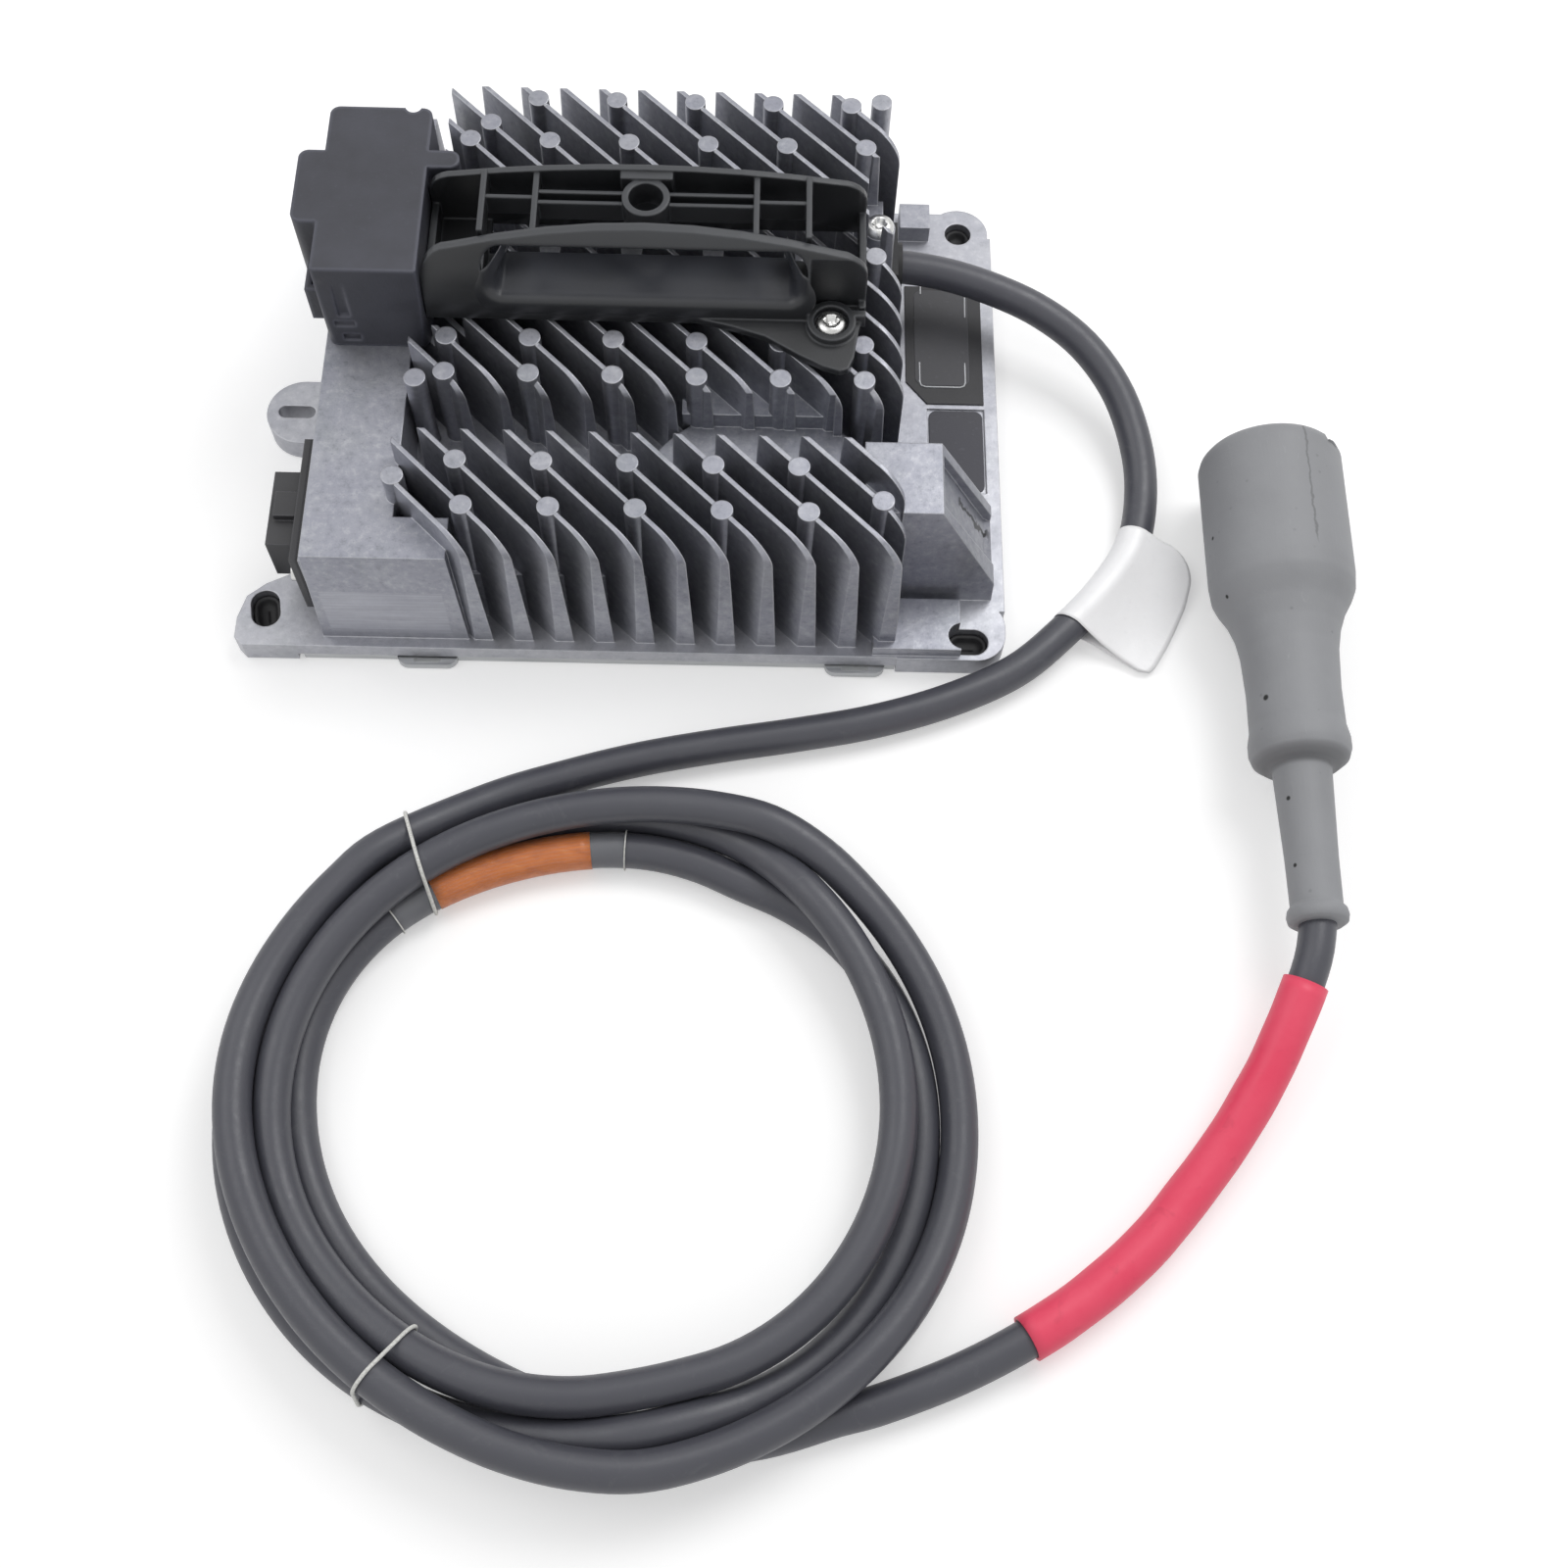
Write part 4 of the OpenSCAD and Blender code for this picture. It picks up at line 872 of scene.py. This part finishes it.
class CHARGER_OT_casting(Operator):
    """Gives the housing and its plates their metal"""

    bl_idname = "charger.casting"
    bl_label = "Casting"

    def execute(self, context):
        dress(cast_metal(context.scene.charger_casting), "heatsink_housing")
        dress(plate_metal(), "base_plate", "transistor_clamp")
        dress(black_rubber(), "base_seal", "signal_seal", "cable_gland")
        return {"FINISHED"}


class CHARGER_OT_feet(Operator):
    """Puts a rubber grommet into the hole of each foot, its web nearly closing the hole: a dark piece for the
    shade there
    """

    bl_idname = "charger.feet"
    bl_label = "Foot grommets"

    def execute(self, context):
        bm = bmesh.new()
        for place, run, turn in FOOT_HOLES:
            # The dark web nearly closes each hole: painted shade in the hole.
            add_rings(bm, [
                (5.1, 0.6), (5.1, 6.2), (4.7, 6.9), (3.9, 6.9), (3.4, 6.2), (3.2, 4.4), (2.0, 3.6), (0.8, 3.4),
                (0.04, 3.1), (0.04, 2.2), (2.0, 1.8), (4.6, 0.6), (5.1, 0.6),
            ], (*place, 0), run, radians(turn), caps=False)
        feet = add_mesh("foot_shade_grommets", bm, black_rubber())
        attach(feet, "root")
        return {"FINISHED"}


class CHARGER_OT_screws(Operator):
    """Makes the lobed screws of the handle and of the earth point"""

    bl_idname = "charger.screws"
    bl_label = "Screws"

    def execute(self, context):
        steel = bright_steel()
        dress(steel, "base_screws", "signal_screws", "gland_nut", "board_screws")
        for name, node, places in (
            ("handle_lobed_screws", "handle_screws", HANDLE_SCREWS),
            ("earth_lobed_screw", "earth_screw", EARTH_SCREW),
        ):
            bm = bmesh.new()
            for *place, length in places:
                threads = [
                    (2.3 + 0.2 * (k % 2), -length + 0.4 * k) for k in range(1, int((length - 3) / 0.4))
                ]
                add_rings(bm, [
                    (1.6, -length), *threads, (2.3, -2), (2.3, 0), (5.3, 0), (5.6, 0.25), (5.6, 0.8), (5.25, 1.5),
                    (4.5, 2.25), (3.7, 2.65), (3.1, 2.8), (2.35, 2.8), (2.2, 0.9),
                ], place, segments=48, lobes=0.13)
            screw = add_mesh(name, bm, steel)
            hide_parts(node)
            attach(screw, "root")
        return {"FINISHED"}


class CHARGER_OT_handle(Operator):
    """Gives the handle its plastic and the smooth hollow for the fingers"""

    bl_idname = "charger.handle"
    bl_label = "Handle"

    def execute(self, context):
        look = context.scene.charger_plastic
        # Pale edges and upper rims: wear and painted highlight.
        dress(
            moulded("handle_plastic", look.handle, 1200, 0.00005, (0.34, 0.46), 0.0012, 0.3, 0.95, True),
            "handle",
        )
        soften("handle", 0.0007)
        rim = [Vector(p) for p in HOLLOW_RIM]
        profile = smooth_line([(*p, 0) for p in HOLLOW_PROFILE], 0.5)
        bm = bmesh.new()
        bmesh.ops.create_grid(bm, x_segments=130, y_segments=len(profile) - 1, size=1)
        for vert in bm.verts:
            x, z, turn = point_at(rim, (vert.co.x + 1) / 2)
            away, deep, _ = point_at(profile, (vert.co.y + 1) / 2)
            if away > 0:
                left = (LIP_END - z) / LIP_RUN_OUT
                away *= min(max(left, 0.05), 1)
                deep *= min(max(left, 0), 1)
            a = radians(turn)
            away -= DRAW_IN * cos(a) ** 2 * min(max(deep - 0.5, 0) / DRAW_IN_DEPTH, 1) ** 0.8
            x, z = x + away * cos(a), z + away * sin(a)
            face = BOW_Y - sqrt(BOW_RADIUS**2 - (z - BOW_Z) ** 2)
            if deep > LIP_DEPTH:
                share = (deep - LIP_DEPTH) / (HOLLOW_PROFILE[-1][1] - LIP_DEPTH)
                deep = LIP_DEPTH + (SCOOP_BACK - face - LIP_DEPTH) * share
            vert.co = mm(x, face + deep, z)
        scoop = add_mesh("finger_hollow", bm, hollow_plastic(look))
        thicken(scoop, 0.0005)
        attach(scoop, "root")
        return {"FINISHED"}


class CHARGER_OT_cover(Operator):
    """Gives the mains cover and the sockets their plastic"""

    bl_idname = "charger.cover"
    bl_label = "Mains cover and sockets"

    def execute(self, context):
        look = context.scene.charger_plastic
        # Pale edges, spread wide: wear and painted highlight.
        dress(
            moulded("cover_plastic", look.cover, 700, 0.0001, (0.42, 0.58), 0.002, 0.55, 0.94), "mains_cover",
        )
        soften("mains_cover", 0.0011, 3)
        dress(
            moulded("socket_plastic", (0.032, 0.032, 0.035), 1000, 0.00006, (0.4, 0.55), 0.0009, 0.4),
            "mains_inlet", "signal_connector",
        )
        dress(contact_metal(), "mains_pins", "signal_pins", "output_terminals")
        return {"FINISHED"}


class CHARGER_OT_panels(Operator):
    """Makes the bare panels on the right flange, with the thin frame on the black one"""

    bl_idname = "charger.panels"
    bl_label = "Bare panels"

    def execute(self, context):
        look = context.scene.charger_plastic
        dress(moulded("label_black", look.panel, 500, 0.00006, (0.4, 0.55), 0.0004), "label_plate")
        field = add_plate(
            "label_field", (108.6, 17.5, 10.55), (129.8, 63, 10.75), 3.5, 0.08,
            moulded("field_black", look.field, 500, 0.00005, (0.45, 0.6), 0.0003),
        )
        lines = add_cord(
            "label_frame", [[mm(x, y, 10.8) for x, y in line] for line in FRAME_LINES], 0.0006,
            plain("frame_line", (0.55, 0.56, 0.58), (0.72, 0.73, 0.75), 300, (0.4, 0.5)), 3,
        )
        panel = add_plate(
            "recess_panel", (113.6, -30.4, 9.02), (134.4, 6.4, 9.6), 3.2, 0.2,
            moulded("recess_grey", look.recess, 400, 0.0001, (0.5, 0.65), 0.0004),
        )
        for piece in (field, lines, panel):
            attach(piece, "root")
        return {"FINISHED"}


class CHARGER_OT_inside(Operator):
    """Gives the electronics inside the housing their finishes"""

    bl_idname = "charger.inside"
    bl_label = "Electronics"

    def execute(self, context):
        dress(board_lacquer(), "circuit_board")
        dress(plain("dark_ferrite", (0.03, 0.03, 0.035), (0.1, 0.1, 0.11), 140), "transformer_core")
        dress(wire_winding(), "transformer_winding", "filter_chokes")
        dress(plain("capacitor_sleeve", (0.01, 0.02, 0.09), (0.03, 0.05, 0.16), 70, (0.16, 0.26)), "capacitors")
        dress(plain("epoxy_black", (0.012, 0.012, 0.013), (0.03, 0.03, 0.032), 200), "power_transistors", "relay")
        dress(plain("white_ceramic", (0.7, 0.69, 0.63), (0.84, 0.83, 0.78), 120, (0.3, 0.45)), "fuse")
        return {"FINISHED"}


def cable_line(look):
    """The cable's middle line, from the gland through the coil to the plug."""
    lead, tail = ([mm(*point) for point in way] for way in (LEAD, TAIL))
    return smooth_line(lead + coil_points(look.width) + tail, 0.004)


def part_of(line, start, end):
    """The stretch of a line between the points nearest to two others."""
    first, last = sorted((nearest(line, start), nearest(line, end)))
    return line[first:last + 1]


class CHARGER_OT_sleeve(Operator):
    """Shrinks the red sleeve on the cable near its plug"""

    bl_idname = "charger.sleeve"
    bl_label = "Red sleeve"

    def execute(self, context):
        look = context.scene.charger_cable
        sleeve = add_tube(
            "red_sleeve_tube", part_of(cable_line(look), *SLEEVE_ENDS), look.sleeve_width, 0.0011,
            red_tube(look), lambda t: 1 + 0.012 * sin(37 * t) * sin(11 * t),
        )
        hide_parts("red_sleeve")
        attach(sleeve, "root")
        return {"FINISHED"}


class CHARGER_OT_wrap(Operator):
    """Winds the bare orange wrap on the coil's inner turn, under a clear tube"""

    bl_idname = "charger.wrap"
    bl_label = "Bare wrap and clear tube"

    def execute(self, context):
        look = context.scene.charger_cable
        line = cable_line(look)
        wrap = add_tube("bare_wrap", part_of(line, *WRAP_ENDS), look.width + 0.0006, 0.0002, orange_wrap(look))
        tube = add_tube("clear_tube", part_of(line, *TUBE_ENDS), look.width + 0.0014, 0.0004, clear_tube())
        # Pale rings at the clear tube's two ends: painted highlights on its rims.
        rims = []
        for end in TUBE_ENDS:
            i = nearest(line, end)
            ahead = (line[i + 1] - line[i - 1]).normalized()
            side = ahead.cross(Vector((0, 0, 1))).normalized()
            above = side.cross(ahead)
            reach = look.width / 2 + 0.0007
            ring = [line[i] + side * (reach * cos(a)) + above * (reach * sin(a)) for a in ROUND]
            rims.append([Vector((p.x, p.y, max(p.z, 0.0003))) for p in ring])
        rim = add_cord("clear_tube_highlight_rims", rims, 0.0005, tie_string(), 3, closed=True)
        for piece in (wrap, tube, rim):
            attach(piece, "root")
        return {"FINISHED"}


class CHARGER_OT_ties(Operator):
    """Ties two strings round the coil"""

    bl_idname = "charger.ties"
    bl_label = "Ties"

    def execute(self, context):
        look = context.scene.charger_cable
        line = cable_line(look)
        reach = (look.width + look.tie_width) / 2 + 0.0002
        loops = []
        for inner, outer in TIES:
            places, start, out = strands(line, inner, outer)
            hull = taut([
                (x + reach * cos(a), max(z + reach * sin(a), look.tie_width / 2))
                for x, z in places for a in ROUND
            ])
            loops.append([start + out * x + Vector((0, 0, z)) for x, z in hull])
        ties = add_cord("coil_strings", loops, look.tie_width, tie_string(), 4, closed=True)
        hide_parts("coil_ties")
        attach(ties, "root")
        return {"FINISHED"}


class CHARGER_OT_flag(Operator):
    """Folds the bare white flag round the cable"""

    bl_idname = "charger.flag"
    bl_label = "Bare flag"

    def execute(self, context):
        look = context.scene.charger_cable
        line = part_of(cable_line(look), *FLAG_ENDS)
        wrapped, lift, side_share = look.width / 2 + 0.0003, 0.00022, 0.22
        turned = radians(50)
        leave, rise = wrapped * cos(turned), wrapped * sin(turned)
        first, last = (Vector((x, y, 0)).normalized() for x, y in FLAG_DIRECTIONS)
        bm = bmesh.new()
        bmesh.ops.create_grid(bm, x_segments=72, y_segments=36, size=1)
        for vert in bm.verts:
            u, t = (vert.co.x + 1) / 2, (vert.co.y + 1) / 2
            middle = point_at(line, t) + Vector((0, 0, 0.0002))
            out = first.lerp(last, t).normalized()
            if abs(u - 0.5) > side_share:
                far = (abs(u - 0.5) - side_share) / (0.5 - side_share)
                x = leave + (interp(t, *zip(*FLAG_REACH)) * MM - leave) * far**1.4
                side = 1 if u < 0.5 else -1
                tip = 0.0014 + 0.0035 * (1 - t) ** 2
                z = (tip - middle.z) * far * far * (3 - 2 * far)
                z += side * (lift + (rise - lift) * exp((leave - x) / (wrapped * tan(turned) ** 2)))
                z += 0.0011 * sin(5 * t + 2) * far
            else:
                turn = turned + (0.5 + (u - 0.5) / (2 * side_share)) * 2 * (pi - turned)
                x, z = wrapped * cos(turn), wrapped * sin(turn)
            vert.co = middle + out * x + Vector((0, 0, z))
        flag = add_mesh("bare_flag", bm, white_film(look))
        thicken(flag, 0.00018, 0)
        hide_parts("flag_label")
        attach(flag, "root")
        return {"FINISHED"}


class CHARGER_OT_plug(Operator):
    """Gives the plug its rubber body and its contacts"""

    bl_idname = "charger.plug"
    bl_label = "Plug"

    def execute(self, context):
        dress(plug_rubber(context.scene.charger_cable), "plug_body")
        dress(moulded("insert_plastic", (0.016, 0.016, 0.018), 1000, 0.00006, (0.4, 0.55)), "plug_insert")
        dress(contact_metal(), "plug_contacts")
        return {"FINISHED"}


class CHARGER_OT_cable(Operator):
    """Lays the output cable from the housing through its coil to the plug"""

    bl_idname = "charger.cable"
    bl_label = "Output cable"

    def execute(self, context):
        look = context.scene.charger_cable
        cable = add_cord("output_cable", [cable_line(look)], look.width, rubber_jacket(look), 7)
        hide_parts("cable_lead", "cable_coil", "cable_tail")
        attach(cable, "root")
        carried = [bpy.data.objects[name] for name in (
            "red_sleeve_tube", "bare_wrap", "clear_tube", "clear_tube_highlight_rims", "coil_strings", "bare_flag"
        )]
        carried += [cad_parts[name] for name in ("plug_body", "plug_insert", "plug_contacts")]
        return {"FINISHED"}


class CHARGER_OT_stage(Operator):
    """Makes the floor, the room light and the lamps"""

    bl_idname = "charger.stage"
    bl_label = "Floor and light"

    def execute(self, context):
        look = context.scene.charger_view
        bm = bmesh.new()
        bmesh.ops.create_grid(bm, x_segments=1, y_segments=1, size=4, matrix=Matrix.Translation((0, 0, -0.0004)))
        f = Finish("floor_paint")
        paint = f.done(f.tint(shaded(look.floor, 0.99), (f.noise(6, 3, 0.5), 0.3, 0.7, 1, look.floor)), 0.9, more={
            "Emission Color": (1, 1, 1), "Emission Strength": f.calc("MULTIPLY", f.in_sight(), 0.36),
        })
        floor = add_mesh("floor", bm, paint, smooth=False)

        world = bpy.data.worlds.new("room")
        world.use_nodes = True
        room = Nodes(world.node_tree)
        room.fill(room.tree.nodes["Background"], {
            "Color": (1, 1, 1), "Strength": room.remap(room.in_sight(), 0, 1, look.sky, 1),
        })
        context.scene.world = world

        for name, place, size, share in LAMPS:
            lamp = bpy.data.lights.new(name, "AREA")
            lamp.size = size
            lamp.energy = look.lamps * share
            rig = add_object(name, lamp)
            rig.location = place
            aim = Vector(LAMPS_AIM) - Vector(place)
            rig.rotation_euler = aim.to_track_quat("-Z", "Y").to_euler()
        context.scene.view_settings.view_transform = "Standard"
        return {"FINISHED"}


class CHARGER_OT_camera(Operator):
    """Sets up the camera"""

    bl_idname = "charger.camera"
    bl_label = "Camera"

    def execute(self, context):
        look = context.scene.charger_view
        lens = bpy.data.cameras.new("camera")
        lens.sensor_width = 36
        lens.lens = look.lens
        lens.clip_start, lens.clip_end = 0.01, 20
        camera = add_object("camera", lens)
        camera.matrix_world = (
            Matrix.Translation(look.place) @ Matrix.Rotation(-look.yaw, 4, "Z")
            @ Matrix.Rotation(pi / 2 - look.pitch, 4, "X") @ Matrix.Rotation(look.roll, 4, "Z")
        )
        context.scene.camera = camera
        return {"FINISHED"}


class CHARGER_PT_panel(Panel):
    """Lists the sizes, colours and steps"""

    bl_label = "Golf cart charger"
    bl_space_type = "VIEW_3D"
    bl_region_type = "UI"
    bl_category = "Charger"

    def draw(self, context):
        for holder in LOOKS:
            box = self.layout.box()
            look = getattr(context.scene, holder)
            for name in look.__annotations__:
                box.prop(look, name)
        for step in STEPS:
            self.layout.operator(step.bl_idname)


LOOKS = {
    "charger_casting": CastingLook,
    "charger_plastic": PlasticLook,
    "charger_cable": CableLook,
    "charger_view": ViewLook,
}
STEPS = [
    CHARGER_OT_camera, CHARGER_OT_sleeve, CHARGER_OT_wrap, CHARGER_OT_ties, CHARGER_OT_flag, CHARGER_OT_plug,
    CHARGER_OT_cable, CHARGER_OT_casting, CHARGER_OT_feet, CHARGER_OT_screws, CHARGER_OT_handle,
    CHARGER_OT_cover, CHARGER_OT_panels, CHARGER_OT_inside, CHARGER_OT_stage,
]
CLASSES = [*LOOKS.values(), *STEPS, CHARGER_PT_panel]


def register():
    """Registers the looks, the steps and the panel."""
    for item in CLASSES:
        bpy.utils.register_class(item)
    for name, look in LOOKS.items():
        setattr(bpy.types.Scene, name, PointerProperty(type=look))


def unregister():
    """Takes the panel, the steps and the looks out again."""
    for name in LOOKS:
        delattr(bpy.types.Scene, name)
    for item in reversed(CLASSES):
        bpy.utils.unregister_class(item)


def main():
    """Dresses the charger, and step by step."""
    register()
    for step in STEPS:
        getattr(bpy.ops.charger, step.bl_idname.split(".")[1])()


if __name__ == "__main__":
    main()
